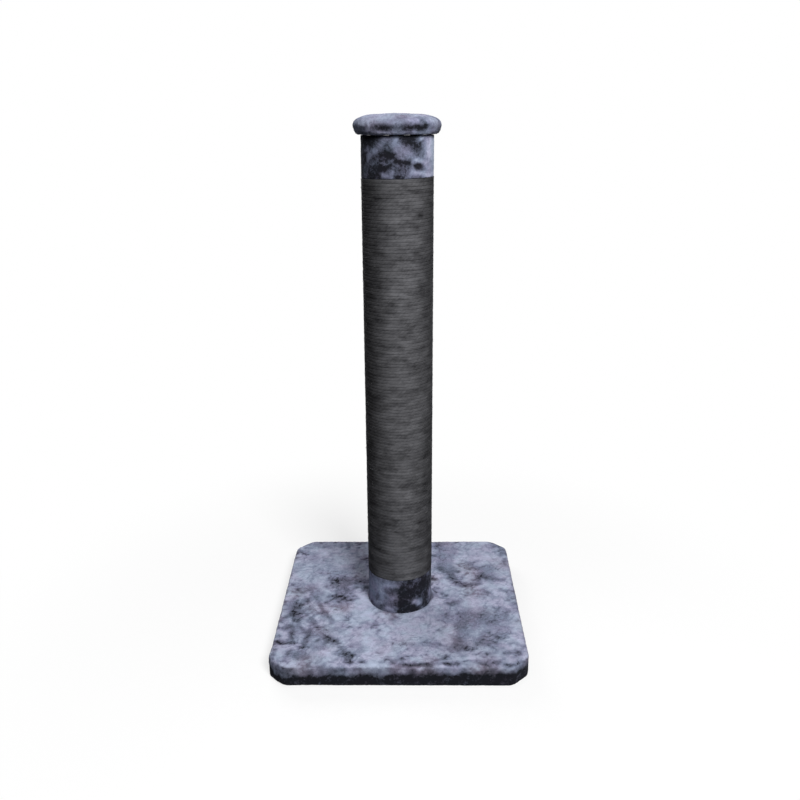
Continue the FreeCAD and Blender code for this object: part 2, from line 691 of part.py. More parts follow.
def make_cap_padding(doc, size, place):
    """The foam crown on the cap board: domed, with a rounded shoulder."""
    edge, low = place.cap_board_half, place.cap_board_top
    rise = size.cap_crown_fall
    shoulder_high = size.cap_crown - rise
    arcs = shoulder(edge - size.cap_shoulder, low, size.cap_shoulder, shoulder_high)
    turning = Vector(edge - size.cap_shoulder, 0, low + shoulder_high)
    foot = Vector(edge, 0, low)
    axis_low = Vector(0, 0, low)
    feature = doc.addObject("Part::Feature", "cap_padding")
    feature.Label = "cap_padding"
    feature.Shape = turned_face(arcs + [crown_arc(turning, rise), line(axis_low, foot),
                                        line(Vector(0, 0, low + size.cap_crown), axis_low)])
    return feature


def make_cap_cover(doc, size, place):
    """The plush over the cap: crowned, widest at the board's top, drawn in and turned under."""
    play, thick, rise = size.cap_cover_play, size.cap_cover_thick, size.cap_crown_fall
    widest = place.cap_board_half + thick
    waist = widest - size.cap_waist
    low, board_low, board_top = place.tube_top, place.cap_board_low, place.cap_board_top
    flap_in = place.cap_board_half - size.cap_flap_width
    round_foot = size.cap_foot_round
    start = widest - size.cap_shoulder
    outer_high = size.cap_crown - rise + thick
    inner_high = size.cap_crown - rise
    diagonal = round_foot * (1 - math.sqrt(0.5))

    flap_end = Vector(flap_in, 0, low)
    foot = Vector(waist - round_foot, 0, low)
    foot_middle = Vector(waist - diagonal, 0, low + diagonal)
    side = Vector(waist, 0, low + round_foot)
    belly = Vector(widest, 0, board_top)
    outer_turn = Vector(start, 0, board_top + outer_high)

    inner_edge = place.cap_board_half + play
    inner_start = inner_edge - size.cap_shoulder
    inner_turn = Vector(inner_start, 0, board_top + inner_high + play)
    inner_top = Vector(0, 0, board_top + size.cap_crown + play)
    edges = [line(flap_end, foot), Part.Arc(foot, foot_middle, side).toShape(),
             upright_arc(side, belly)]
    edges += shoulder(start, board_top, size.cap_shoulder, outer_high)
    edges += [crown_arc(outer_turn, rise), line(Vector(0, 0, place.cap_top), inner_top),
              crown_arc(inner_turn, rise)]
    edges += shoulder(inner_start, board_top, size.cap_shoulder, inner_high + play)
    edges += [line(Vector(inner_edge, 0, board_top), Vector(inner_edge, 0, board_low)),
              line(Vector(inner_edge, 0, board_low), Vector(flap_in, 0, board_low)),
              line(Vector(flap_in, 0, board_low), flap_end)]
    feature = doc.addObject("Part::Feature", "cap_cover_blank")
    feature.Label = "cap_cover_blank"
    feature.Shape = turned_face(edges)
    return feature


# ---- the whole ----

def build():
    doc = FreeCAD.newDocument("scratching_post")
    size = add_sheet(doc, "Sizes", SIZES)
    place = add_sheet(doc, "Places", PLACES)
    nodes = []

    staples, staple_slots, cloth_slots = make_base_staples(doc, size, place)
    nodes += staples
    nodes.append(cut(doc, "base_board", make_base_board(doc, place), staple_slots))
    nodes.append(cut(doc, "base_cover", make_base_cover(doc, size, place), staple_slots))
    nodes.append(cut(doc, "base_backing_cloth", make_backing_cloth(doc), cloth_slots))

    screws, screw_holes = make_plug_screws(doc, size, place)
    nodes += screws
    tube = turned(doc, "post_tube_blank", ring_places(
        "Places.bore_half", "Places.tube_half", "Places.foot", "Places.tube_top"))
    nodes.append(cut(doc, "post_tube", tube, screw_holes["tube"]))
    lower_plug, upper_plug = make_plugs(doc)
    nodes.append(cut(doc, "lower_plug", lower_plug, screw_holes["lower"]))
    nodes.append(cut(doc, "upper_plug", upper_plug, screw_holes["upper"]))

    nodes.append(make_bolt(doc))
    nodes.append(turned(doc, "base_washer", ring_places(
        "Sizes.bolt_size / 2 + Sizes.washer_play", "Sizes.washer_outer / 2",
        "Places.washer_low", "Places.counterbore_top")))
    nodes.append(make_insert(doc, "lower_insert_nut", "Sizes.bolt_size",
                             "Sizes.lower_insert_outer", "Places.foot",
                             "Places.lower_insert_top"))
    nodes.append(make_insert(doc, "upper_insert_nut", "Sizes.stud_size",
                             "Sizes.cap_insert_outer", "Places.upper_insert_low",
                             "Places.tube_top"))
    nodes.append(make_stud(doc))
    nodes.append(make_insert(doc, "cap_insert_nut", "Sizes.stud_size",
                             "Sizes.cap_insert_outer", "Places.cap_board_low",
                             "Places.cap_insert_top"))

    nodes.append(make_sleeve(doc, "lower_sleeve", "Places.foot", "Places.lower_sleeve_top", place))
    nodes.append(make_sleeve(doc, "upper_sleeve", "Places.upper_sleeve_low",
                             "Places.upper_sleeve_top", place))
    nodes.append(make_rope_turns(doc, "rope_lower_turns", size, place, place.rope_low))
    nodes.append(turned(doc, "rope_field", ring_places(
        "Places.rope_in", "Places.rope_out", "Places.field_low", "Places.field_top")))
    nodes.append(make_rope_turns(doc, "rope_upper_turns", size, place,
                                 place.field_top + size.rope_gap))

    seat = "Sizes.cap_insert_outer / 2 + Sizes.insert_play"
    cap_board = turned(doc, "cap_board_blank", [
        (seat, "Places.cap_board_low"), ("Places.cap_board_half", "Places.cap_board_low"),
        ("Places.cap_board_half", "Places.cap_board_top"), ("0", "Places.cap_board_top"),
        ("0", "Places.cap_insert_top"), (seat, "Places.cap_insert_top")])
    cap_row = (int(size.cap_staples_count), place.cap_board_half - size.cap_staple_row,
               place.tube_top + size.staple_sink)
    nodes.append(set_of_solids(doc, "cap_staples", circle_row(staple_solid(size), *cap_row)))
    cap_slots = set_of_solids(doc, "cap_staple_slots", circle_row(
        staple_slot(size, size.staple_sink), *cap_row))
    nodes.append(cut(doc, "cap_board", cap_board, cap_slots))
    nodes.append(make_cap_padding(doc, size, place))
    nodes.append(cut(doc, "cap_cover", make_cap_cover(doc, size, place), cap_slots))

    doc.recompute()
    check(doc, nodes)
    write(nodes)


def check(doc, nodes):
    """Stop if any object of the document failed or any sub-part isn't a sound solid."""
    for item in doc.Objects:
        if "Invalid" in item.State or "Error" in item.State:
            raise RuntimeError(f"{item.Label} failed: {item.State}")
    for node in nodes:
        shape = node.Shape
        if shape.isNull() or not shape.isValid() or not shape.Solids:
            raise RuntimeError(f"{node.Label} isn't a valid solid")
        if min(solid.Volume for solid in shape.Solids) <= 0:
            raise RuntimeError(f"{node.Label} is inside out")


def write(nodes):
    os.makedirs(PARTS_FOLDER, exist_ok=True)
    for node in nodes:
        node.Shape.exportStep(os.path.join(PARTS_FOLDER, f"{node.Label}.step"))
        box = node.Shape.BoundBox
        print(f"{node.Label}: {len(node.Shape.Solids)} solid(s), "
              f"z {box.ZMin:.1f} to {box.ZMax:.1f}, {node.Shape.Volume / 1000:.1f} cm3")


build()
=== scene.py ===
"""Looks of a cat scratching post: crushed plush, wound sisal rope, and what is inside.

Metres. The base's underside is at z = 0, its centre at the origin, and -Y faces the viewer.
"""

import math

import bmesh
import bpy
import numpy as np
from bpy.props import FloatProperty, FloatVectorProperty, IntProperty, PointerProperty
from mathutils import Matrix, Vector, noise


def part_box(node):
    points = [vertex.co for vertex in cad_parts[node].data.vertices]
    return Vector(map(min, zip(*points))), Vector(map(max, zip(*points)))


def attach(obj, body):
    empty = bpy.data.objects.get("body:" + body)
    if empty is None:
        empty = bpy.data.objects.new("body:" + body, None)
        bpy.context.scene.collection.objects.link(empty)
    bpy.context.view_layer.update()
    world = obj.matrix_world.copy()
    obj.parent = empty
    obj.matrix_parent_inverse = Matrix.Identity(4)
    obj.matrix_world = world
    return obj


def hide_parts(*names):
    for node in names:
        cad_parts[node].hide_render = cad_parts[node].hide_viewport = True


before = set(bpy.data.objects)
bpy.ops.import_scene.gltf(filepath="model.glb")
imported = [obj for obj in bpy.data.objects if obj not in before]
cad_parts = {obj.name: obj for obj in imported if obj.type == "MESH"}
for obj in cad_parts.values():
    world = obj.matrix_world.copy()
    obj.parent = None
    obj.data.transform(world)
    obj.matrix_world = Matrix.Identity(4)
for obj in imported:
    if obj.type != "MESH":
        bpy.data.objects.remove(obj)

bl_info = {
    "name": "Scratching Post",
    "version": (1, 0, 0),
    "blender": (4, 5, 0),
    "location": "View3D > Sidebar > Post",
    "description": "Dresses the frame of a cat scratching post in plush and rope",
    "category": "Object",
}

MM = 0.001
QUARTER = math.pi / 2
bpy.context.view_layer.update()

# ---- places read from the frame ----

COVER_LOW, COVER_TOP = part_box("base_cover")
BOARD_LOW, BOARD_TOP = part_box("base_board")
CLOTH_LOW, CLOTH_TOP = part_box("base_backing_cloth")
TUBE_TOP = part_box("post_tube")[1]
FOOT_LOW, FOOT_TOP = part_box("lower_sleeve")
NECK_LOW, NECK_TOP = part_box("upper_sleeve")
CAP_LOW, CAP_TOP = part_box("cap_cover")
CAP_BOARD_LOW, CAP_BOARD_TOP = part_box("cap_board")
FOAM_LOW, FOAM_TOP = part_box("cap_padding")


# ---- settings ----

def colour_setting(name, description, colour):
    return FloatVectorProperty(
        name=name, description=description, subtype="COLOR", size=3, min=0, max=1, default=colour)


def length_setting(name, description, least, length):
    return FloatProperty(name=name, description=description, subtype="DISTANCE", unit="LENGTH",
                         min=least, default=length)


def angle_setting(name, description, angle):
    return FloatProperty(name=name, description=description, subtype="ANGLE", unit="ROTATION",
                         default=angle)


class PlushSettings(bpy.types.PropertyGroup):
    """The crushed plush of the base, the sleeves and the cap."""
    light: colour_setting("Raised pile", "Colour where the pile stands towards the light",
                          (0.445, 0.470, 0.612))
    middle: colour_setting("Pile", "Colour of the pile between its light and dark patches",
                           (0.195, 0.208, 0.300))
    dark: colour_setting("Brushed pile", "Colour where the pile is brushed away from the light",
                         (0.0135, 0.0138, 0.0185))
    warm: colour_setting("Warm cast", "Brownish violet cast of some patches",
                         (0.165, 0.150, 0.205))
    relief: length_setting("Relief", "How far crushed pile lies below raised pile", 0, 2.0 * MM)
    grid: length_setting("Mesh spacing", "Distance between the points of the plush surfaces",
                         1 * MM, 2.5 * MM)


class RopeSettings(bpy.types.PropertyGroup):
    """The sisal rope wound round the post."""
    pitch: length_setting("Pitch", "Distance from one turn to the next", 4 * MM, 6.5 * MM)
    strands_per_turn: length_setting(
        "Lay", "Length of rope in which a strand goes round once", 5 * MM, 27 * MM)
    steps: IntProperty(
        name="Steps a turn", description="Sections of the rope's mesh in one turn round the post",
        min=24, default=180)
    sides: IntProperty(
        name="Sides", description="Points round the rope's section", min=6, default=14)
    lengths: IntProperty(
        name="Lengths", description="Pieces that the winding's mesh is divided into",
        min=1, default=6)
    light: colour_setting("Light fibres", "Colour of the lightest sisal fibres",
                          (0.140, 0.140, 0.150))
    # The dark end of the rope's colour also takes the painted shade in the grooves of the lay.
    dark: colour_setting("Dyed fibres", "Colour of the dyed sisal in the grooves",
                         (0.024, 0.024, 0.026))


class StageSettings(bpy.types.PropertyGroup):
    """Camera, as the object was photographed."""
    lens: FloatProperty(
        name="Lens", description="Focal length on a 36 mm sensor", min=1, default=38.8)
    eye: FloatVectorProperty(
        name="Eye", description="Where the camera stands", subtype="TRANSLATION",
        unit="LENGTH", size=3, default=(0.0248, -1.6262, 1.0350))
    turn: angle_setting("Turn", "How far the camera looks to the right of straight ahead", -0.0139)
    tilt: angle_setting("Tilt", "How far the camera looks down", 0.3243)
    roll: angle_setting("Roll", "How far the camera is rolled", -0.0063)


# ---- patches of the crushed pile ----
# Each stroke is where a hand has brushed the pile, or painted sheen on the neck, in millimetres:
# centre across and along, length, width, direction in degrees, and tone from 0, dark, to 1, light, or
# a little past.

BASE_STROKES = [
    # behind and left of the post
    (-136, 64, 56, 44, 20, 0.23), (-96, 56, 56, 24, 4, 0.34), (-118, 26, 40, 26, -60, 0.33),
    (-150, 96, 40, 24, -60, 0.55), (-136, -3, 28, 15, -15, 0.17), (-130, 228, 50, 9, -85, 0.51),
    (-168, 130, 90, 30, -62, 0.68), (-207, 166, 66, 26, -72, 0.61), (-194, 228, 44, 18, 0, 0.61),
    (-86, 172, 26, 14, 80, 0.66), (-228, 236, 40, 12, 40, 0.45), (-120, 108, 44, 20, -70, 0.65),
    (-90, 120, 60, 24, 84, 0.76), (-236, 120, 50, 12, 80, 0.70),
    # left side
    (-178, -18, 150, 13, -68, 0.44), (-216, -56, 62, 22, -78, 0.33), (-234, -84, 42, 14, 60, 0.41),
    (-205, -112, 64, 13, -62, 0.39), (-168, -118, 84, 13, -62, 0.41), (-218, -140, 62, 18, -80, 0.34),
    (-226, -173, 44, 11, 0, 0.25), (-136, -160, 38, 20, -20, 0.24), (-184, -160, 70, 15, 80, 0.33),
    (-150, -78, 70, 12, -62, 0.49), (-188, -214, 30, 24, 30, 0.41), (-212, -214, 44, 12, 80, 0.49),
    (-102, -216, 48, 17, -72, 0.31), (-104, -119, 14, 11, 0, 0.42), (-154, -196, 40, 12, 60, 0.49),
    (-128, -40, 44, 16, 10, 0.62), (-112, -62, 50, 16, -60, 0.67), (-240, -215, 50, 12, 85, 0.46),
    (-186, 36, 90, 14, -66, 0.59), (-216, 30, 50, 14, -70, 0.62), (-142, -130, 54, 14, 20, 0.62),
    (-228, -20, 50, 12, 80, 0.49), (-112, -95, 34, 10, 70, 0.64), (-80, -190, 34, 11, -70, 0.61),
    # front edge
    (32, -243, 64, 14, 0, 0.17), (98, -241, 30, 13, 0, 0.21), (-8, -236, 22, 12, 60, 0.37),
    (48, -180, 60, 15, 2, 0.45), (231, -205, 20, 16, 0, 0.20), (224, -240, 56, 16, 14, 0.25),
    (172, -238, 50, 12, 5, 0.41), (-48, -110, 12, 9, 0, 0.52), (-22, -118, 76, 7, -58, 0.68),
    (-24, -224, 14, 10, 0, 0.49), (40, -92, 14, 10, 60, 0.54), (-30, -180, 40, 13, -80, 0.70),
    # right side
    (116, -27, 46, 20, 20, 0.26), (92, -77, 46, 30, 30, 0.48), (142, -84, 56, 34, 72, 0.38),
    (124, -128, 150, 26, 84, 0.40), (182, -92, 96, 68, -10, 0.46), (176, -172, 44, 28, 8, 0.43),
    (122, -192, 60, 22, 0, 0.41), (222, -72, 34, 16, 80, 0.40), (206, -130, 44, 14, 60, 0.58),
    (234, 0, 40, 14, 80, 0.58), (206, -10, 30, 12, 0, 0.59), (150, -232, 60, 10, 0, 0.54),
    # right and behind
    (88, 226, 44, 26, 84, 0.39), (98, 170, 150, 30, 86, 0.52), (92, 118, 34, 24, -10, 0.34),
    (116, 168, 90, 18, 80, 0.55), (116, 82, 50, 20, -74, 0.32), (128, 56, 30, 14, -50, 0.37),
    (156, 46, 54, 14, 12, 0.37), (176, 64, 20, 14, 60, 0.42), (190, 82, 40, 28, -32, 0.22),
    (220, 68, 34, 15, -10, 0.22), (204, 112, 46, 40, -4, 0.42), (172, 122, 44, 26, -20, 0.42),
    (142, 84, 40, 10, 60, 0.50), (236, 190, 40, 13, 80, 0.39), (240, 148, 34, 10, 80, 0.37),
    (228, 234, 44, 13, -42, 0.30), (135, 246, 24, 11, 80, 0.45), (166, 142, 40, 10, 40, 0.49),
    # raised pile
    (30, -125, 110, 90, 10, 0.88), (-60, -30, 40, 26, -60, 0.90), (110, 20, 70, 24, -60, 0.86),
    (-195, 200, 60, 16, 0, 0.86), (180, 205, 80, 60, 10, 0.84), (180, -25, 100, 30, 4, 0.88),
    (20, -205, 90, 16, 0, 0.88), (-215, 96, 40, 50, 0, 0.86), (238, 100, 16, 60, 85, 0.84),
    (-100, -150, 50, 24, 70, 0.86), (-176, 64, 36, 20, 60, 0.86), (-160, -215, 26, 20, 80, 0.84),
]
# across is the distance round the band from the viewer's side, to the right; along is the height
FOOT_STROKES = [
    (-45, 80, 46, 34, 60, 0.86), (-17, 103, 34, 10, 4, 0.78), (-20, 90, 30, 13, 10, 0.16),
    (-13, 76, 20, 13, 30, 0.86), (-53, 70, 17, 15, 40, -0.04), (-49, 58, 30, 9, 20, 0.72),
    (-33, 55, 26, 11, 25, 0.10), (-19, 51, 22, 13, 10, 0.86), (-70, 84, 40, 22, 70, 0.56),
    (-74, 60, 34, 16, 20, 0.56), (6, 62, 42, 36, 90, -0.07), (14, 92, 34, 22, 60, -0.04),
    (50, 92, 90, 36, -12, -0.07), (44, 56, 70, 20, 0, -0.04), (70, 72, 44, 26, 80, -0.04),
    (22, 104, 12, 7, 0, 0.06), (40, 64, 26, 11, -28, 0.66), (84, 66, 24, 16, 80, 0.50),
]
# The strokes of tone 0.95 and more, on the band's right, are painted sheen where light grazes it.
NECK_STROKES = [
    (-58, 982, 60, 40, 0, -0.12), (-40, 975, 30, 22, 60, -0.07), (-27, 979, 24, 16, 60, 0.42),
    (-17, 982, 22, 9, 80, 0.13), (-7, 968, 20, 15, 40, 0.40), (2, 978, 32, 19, -64, 0.66),
    (10, 962, 36, 22, -50, 0.64), (26, 957, 30, 20, -40, 0.58), (30, 984, 34, 22, -20, -0.17),
    (42, 968, 38, 17, -80, -0.17), (46, 986, 14, 7, 20, 0.55), (73, 970, 44, 34, 90, 1.19),
    (92, 962, 60, 24, 90, 1.04), (50, 947, 34, 11, -12, 1.01), (29, 938, 20, 7, 80, 0.78),
    (60, 929, 74, 8, -3, 0.95), (74, 940, 34, 14, 0, 0.71), (41, 940, 24, 13, 0, -0.17),
    (11, 947, 30, 12, -8, -0.17), (11, 936, 32, 16, 0, 0.17), (-20, 956, 40, 24, 20, -0.12),
    (-50, 963, 34, 10, 26, 0.58), (-60, 953, 16, 9, 70, 0.46), (-40, 947, 32, 24, 60, 0.13),
    (-22, 937, 30, 20, 0, -0.07), (-27, 946, 14, 6, 0, 0.17), (-10, 930, 14, 9, 70, 0.38),
    (-70, 930, 24, 10, 0, 0.32), (-46, 929, 28, 14, 0, -0.02), (-21, 930, 14, 5, 0, 0.36),
    (-70, 969, 26, 8, 0, 0.30), (-84, 950, 50, 16, 90, 0.08), (36, 984, 8, 5, 0, 0.26),
]
CAP_STROKES = [
    (-20, 1004, 60, 14, -3, 0.07), (36, 1005, 50, 15, 3, 0.05), (-25, 1003.5, 22, 14, -6, -0.07),
    (22, 1003, 18, 12, 8, -0.05), (50, 1008, 24, 12, 14, -0.07), (-88, 1003, 26, 13, 10, 0.42),
    (50, 1017, 16, 8, 0, 0.21), (92, 1008, 24, 14, 60, 0.46), (-54, 1006, 20, 14, 60, 0.72),
    (0, 1004, 14, 12, 70, 0.23), (74, 1003, 18, 12, 70, 0.42), (6, 996.5, 130, 4.5, 0, 0.66),
    (-64, 997, 26, 5, 0, 0.23), (24, 996, 14, 5, 0, 0.28), (-50, 1021, 60, 9, 4, 0.76),
    (-24, 1024, 34, 8, 0, 0.74), (10, 1022, 30, 7, 0, 0.46), (32, 1019, 20, 7, 0, 0.56),
    (84, 1020, 30, 12, 0, 0.74), (-24, 1016, 40, 5, 0, 0.50), (-70, 1013, 30, 7, 0, 0.66),
]


TONE_LIMITS = (-0.07, 1.15)  # past 0 and 1 few hairs are of the other tone


def waviness(points, scale, seed):
    """Smooth noise from -1 to 1 at each point, whose swells are about scale across."""
    shift = Vector((seed * 7.31, seed * 3.17, seed * 5.53))
    return np.array([noise.noise(Vector(point) / scale + shift) for point in points])


def swells(points, seed, *layers):
    """Noises of several scales added up: each layer is (height, mm across)."""
    return sum(height * waviness(points, scale, seed + number)
               for number, (height, scale) in enumerate(layers))


WANDER, FINE_WANDER, FINE_SHARE = 26.0, 8.0, 0.45  # mm across, and the finer one's share


def brushed_tone(across, along, solid, ground, strokes, seed, broken, stray, firm=3.3):
    """The pile's tone, 0 dark to 1 light, from brush strokes with ragged edges.

    across and along are places on the unrolled surface and solid the places in space, in mm.
    broken is how far the strokes break up into clusters of flecks, stray how many mm their
    edges wander, and firm how suddenly they end.
    """
    x, y = (flat + stray * (waviness(solid, WANDER, seed + axis)
                            + FINE_SHARE * waviness(solid, FINE_WANDER, seed + axis + 2))
            for axis, flat in enumerate((across, along)))
    ragged = 0.35 * waviness(solid, 4.5, seed + 4)
    flecks = np.clip(0.65 + 1.4 * waviness(solid, 11.0, seed + 5), 0.0, 1.0)
    tone = ground.copy()
    for centre_x, centre_y, length, width, degrees, level in strokes:
        turn = math.radians(degrees)
        run = (x - centre_x) * math.cos(turn) + (y - centre_y) * math.sin(turn)
        side = (y - centre_y) * math.cos(turn) - (x - centre_x) * math.sin(turn)
        over = np.maximum(np.abs(run) - max(length - width, 0.0) / 2, 0.0)
        reach = np.hypot(over, side) / (width / 2) + ragged
        weight = 1.0 / (1.0 + np.clip(reach, 0.0, None) ** firm)
        tone += (level - tone) * weight * (1.0 - broken * (1.0 - flecks))
    return np.clip(tone, *TONE_LIMITS)


# ---- meshes ----

def finished(bm, name, material, smooth=True):
    """Turns a bmesh into a piece that rides on the frame's one body."""
    mesh = bpy.data.meshes.new(name)
    bm.to_mesh(mesh)
    bm.free()
    mesh.polygons.foreach_set("use_smooth", [smooth] * len(mesh.polygons))
    mesh.materials.append(material)
    piece = bpy.data.objects.new(name, mesh)
    bpy.context.scene.collection.objects.link(piece)
    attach(piece, "root")
    return piece


def vectors_of(items, name):
    """The vectors of that name, one row for each item."""
    flat = np.empty(len(items) * 3)
    items.foreach_get(name, flat)
    return flat.reshape(-1, 3)


def whole_numbers_of(items, name):
    values = np.empty(len(items), dtype=np.int64)
    items.foreach_get(name, values)
    return values


def places_of(mesh):
    return vectors_of(mesh.vertices, "co")


def normals_of(mesh):
    return vectors_of(mesh.vertex_normals, "vector")


def set_places(mesh, places):
    mesh.vertices.foreach_set("co", places.ravel())
    mesh.update()


def add_attribute(mesh, name, values):
    layer = mesh.attributes.new(name, "FLOAT", "POINT")
    layer.data.foreach_set("value", values.astype(np.float32))


def read_attribute(mesh, name):
    values = np.empty(len(mesh.vertices), dtype=np.float32)
    mesh.attributes[name].data.foreach_get("value", values)
    return values


def creases(solid, scale, width, seed):
    """1 along thin winding lines where the pile parts, 0 between them; solid in mm."""
    bent = solid + 7.0 * np.stack([waviness(solid, 17, seed + k) for k in range(3)], axis=1)
    line = 1.0 - np.abs(waviness(bent, scale, seed + 3)) / width
    there = np.clip(0.55 + 1.5 * waviness(solid, 40, seed + 4), 0, 1)
    return np.clip(line, 0, 1) * there


def crushed_height(solid, tone, seed):
    """Height of the pile, 0 to 1: brushed patches lie low, and small ridges run between them."""
    ridges = 1.0 - np.abs(waviness(solid, 9.0, seed + 11)) * 2.2
    small = waviness(solid, 4.2, seed + 12)
    swell = waviness(solid, 38.0, seed + 13)
    return 0.50 * tone + 0.26 * np.clip(ridges, 0, 1) + 0.14 * small + 0.18 * swell


USUAL_HEIGHT = 0.55  # the share of its height at which the pile mostly stands


def crush(piece, tone, pile, amount, seed, warmth=0.0):
    """Raises the pile along the surface's normals and keeps its tone for the material."""
    mesh = piece.data
    places, normals = places_of(mesh), normals_of(mesh)
    height = crushed_height(places / MM, tone, seed)
    lift = (height - USUAL_HEIGHT) * amount * pile
    set_places(mesh, places + normals * lift[:, None])
    warm = 1.6 * waviness(places / MM, 60.0, seed + 21) + warmth
    add_attribute(mesh, "tone", tone)
    add_attribute(mesh, "warm", np.clip(warm, 0, 1))


def octagon(half, leg, rounding, steps=5):
    """The outline of the clipped base as points, its corners rounded by short arcs."""
    turn = math.pi / 4
    set_back = rounding * math.tan(turn / 2)
    corners = []
    for quarter in range(4):
        for x, y, heading in ((half, half - leg, math.pi / 2), (half - leg, half, 3 * turn)):
            spot = Vector((x, y))
            start = spot - set_back * Vector((math.cos(heading), math.sin(heading)))
            centre = start + rounding * Vector((-math.sin(heading), math.cos(heading)))
            for k in range(steps + 1):
                angle = heading - math.pi / 2 + turn * k / steps
                point = centre + rounding * Vector((math.cos(angle), math.sin(angle)))
                corners.append(Matrix.Rotation(quarter * math.pi / 2, 2) @ point)
    return corners


def reach_outline(outline, direction):
    """How far the outline lies from the centre in a direction."""
    best = math.inf
    for a, b in zip(outline, outline[1:] + outline[:1]):
        edge = b - a
        cross = direction.x * edge.y - direction.y * edge.x
        if abs(cross) > 1e-12:
            distance = (a.x * edge.y - a.y * edge.x) / cross
            share = (a.x * direction.y - a.y * direction.x) / cross
            if distance > 0 and -1e-6 <= share <= 1 + 1e-6:
                best = min(best, distance)
    return best


def straight_profile(start, end, spacing):
    """Points from just after start to end, evenly spaced."""
    count = max(1, round(math.dist(start, end) / spacing))
    return [tuple(a + (b - a) * k / count for a, b in zip(start, end))
            for k in range(1, count + 1)]


def arc(centre, radius, start, sweep, steps):
    """Points round a centre, from the angle start on through sweep."""
    angles = [start + sweep * k / steps for k in range(steps + 1)]
    return [(centre[0] + radius * math.cos(a), centre[1] + radius * math.sin(a)) for a in angles]


BASE_LEG, BASE_ROUND = 34 * MM, 24 * MM
# How far the folded plush stands out at each corner of the base: x side, y side, millimetres.
CORNER_FOLDS = ((-1, -1, 5.0), (1, -1, 1.0), (-1, 1, -1.5), (1, 1, 1.5))
TOP_ROUND, FOOT_ROUND = 7 * MM, 2.5 * MM
FLAP_WIDTH = 42 * MM
CLOTH_AIR = 0.3 * MM
SKIN_GAP = 0.1 * MM
HALF_SIDE = COVER_TOP.x
DIAGONAL_SHARE = 2 - math.sqrt(2)


class Outline:
    """The base's outline moved in by a distance, read by the direction from the centre."""

    def __init__(self, inset):
        points = octagon(HALF_SIDE - inset, BASE_LEG - DIAGONAL_SHARE * inset, BASE_ROUND - inset)
        self.angles = np.linspace(-math.pi, math.pi, 2881)
        self.reaches = np.array([
            reach_outline(points, Vector((math.cos(a), math.sin(a)))) for a in self.angles])

    def point(self, angle):
        reach = float(np.interp((angle + math.pi) % math.tau - math.pi, self.angles, self.reaches))
        return Vector((reach * math.cos(angle), reach * math.sin(angle)))

    def normal(self, angle, step=0.004):
        along = self.point(angle + step) - self.point(angle - step)
        return Vector((along.y, -along.x)).normalized()


def cover_profile(spacing):
    """(offset, height, pile) rings from the top's edge, down the side, under and back up inside."""
    side_inset = BOARD_LOW.x - COVER_LOW.x
    wall, flap_end = SKIN_GAP - side_inset, -side_inset - FLAP_WIDTH
    under, over_cloth = BOARD_LOW.z - SKIN_GAP, CLOTH_TOP.z + SKIN_GAP
    cloth_edge = -(HALF_SIDE - CLOTH_TOP.x) + CLOTH_AIR
    shoulder = COVER_TOP.z - TOP_ROUND
    runs = (
        (1.0, arc((-TOP_ROUND, shoulder), TOP_ROUND, QUARTER, -QUARTER, 5)[1:]),
        (1.0, straight_profile((0.0, shoulder), (0.0, FOOT_ROUND), spacing)),
        (0.7, arc((-FOOT_ROUND, FOOT_ROUND), FOOT_ROUND, 0.0, -QUARTER, 3)[1:]),
        (0.25, straight_profile((-FOOT_ROUND, 0.0), (cloth_edge, 0.0), 2 * spacing)),
        (0.0, ((cloth_edge, over_cloth), (flap_end, over_cloth), (flap_end, under),
               (wall, under), (wall, BOARD_TOP.z + SKIN_GAP))))
    return [(offset, height, pile) for pile, points in runs for offset, height in points]


def cover_bmesh(spacing):
    """The base's plush as one closed skin: a fine top, its sides, the turned-in flap, the inside."""
    outline = Outline(TOP_ROUND)
    bm = bmesh.new()
    count = round(2 * (HALF_SIDE - TOP_ROUND) / spacing)
    bmesh.ops.create_grid(bm, x_segments=count, y_segments=count, size=1.0)
    pile = bm.verts.layers.float.new("pile")
    home = [bm.verts.layers.float.new(axis) for axis in ("home_x", "home_y", "out_x", "out_y")]
    for vert in bm.verts:
        ring = max(abs(vert.co.x), abs(vert.co.y))
        angle = math.atan2(vert.co.y, vert.co.x)
        flat = outline.point(angle) * ring if ring else Vector((0, 0))
        vert.co = (flat.x, flat.y, COVER_TOP.z)
        vert[pile] = 1.0
        if vert.is_boundary:
            normal = outline.normal(angle)
            for layer, value in zip(home, (flat.x, flat.y, normal.x, normal.y)):
                vert[layer] = value
    rim = [edge for edge in bm.edges if edge.is_boundary]
    for offset, height, standing in cover_profile(spacing):
        grown = bmesh.ops.extrude_edge_only(bm, edges=rim)["geom"]
        rim = [item for item in grown
               if isinstance(item, bmesh.types.BMEdge) and item.is_boundary]
        for vert in {v for edge in rim for v in edge.verts}:
            home_x, home_y, out_x, out_y = (vert[layer] for layer in home)
            vert.co = (home_x + out_x * (offset + TOP_ROUND),
                       home_y + out_y * (offset + TOP_ROUND), height)
            vert[pile] = standing
    bmesh.ops.contextual_create(bm, geom=rim)
    bmesh.ops.recalc_face_normals(bm, faces=bm.faces)
    return bm


def spun(profile, steps, closed):
    """A profile of (radius, height) points turned about the post's axis."""
    bm = bmesh.new()
    verts = [bm.verts.new((0.0, -radius, height)) for radius, height in profile]
    pairs = list(zip(verts, verts[1:])) + ([(verts[-1], verts[0])] if closed else [])
    edges = [bm.edges.new(pair) for pair in pairs]
    bmesh.ops.spin(bm, geom=verts + edges, cent=(0, 0, 0), axis=(0, 0, 1), dvec=(0, 0, 0),
                   angle=math.tau, steps=steps, use_merge=True, use_duplicate=False)
    bmesh.ops.remove_doubles(bm, verts=bm.verts, dist=0.01 * MM)
    bmesh.ops.recalc_face_normals(bm, faces=bm.faces)
    return bm


def unrolled(places, radius):
    """How far round from the viewer's side each place lies, in mm, to the viewer's right."""
    return np.arctan2(places[:, 0], -places[:, 1]) * radius / MM


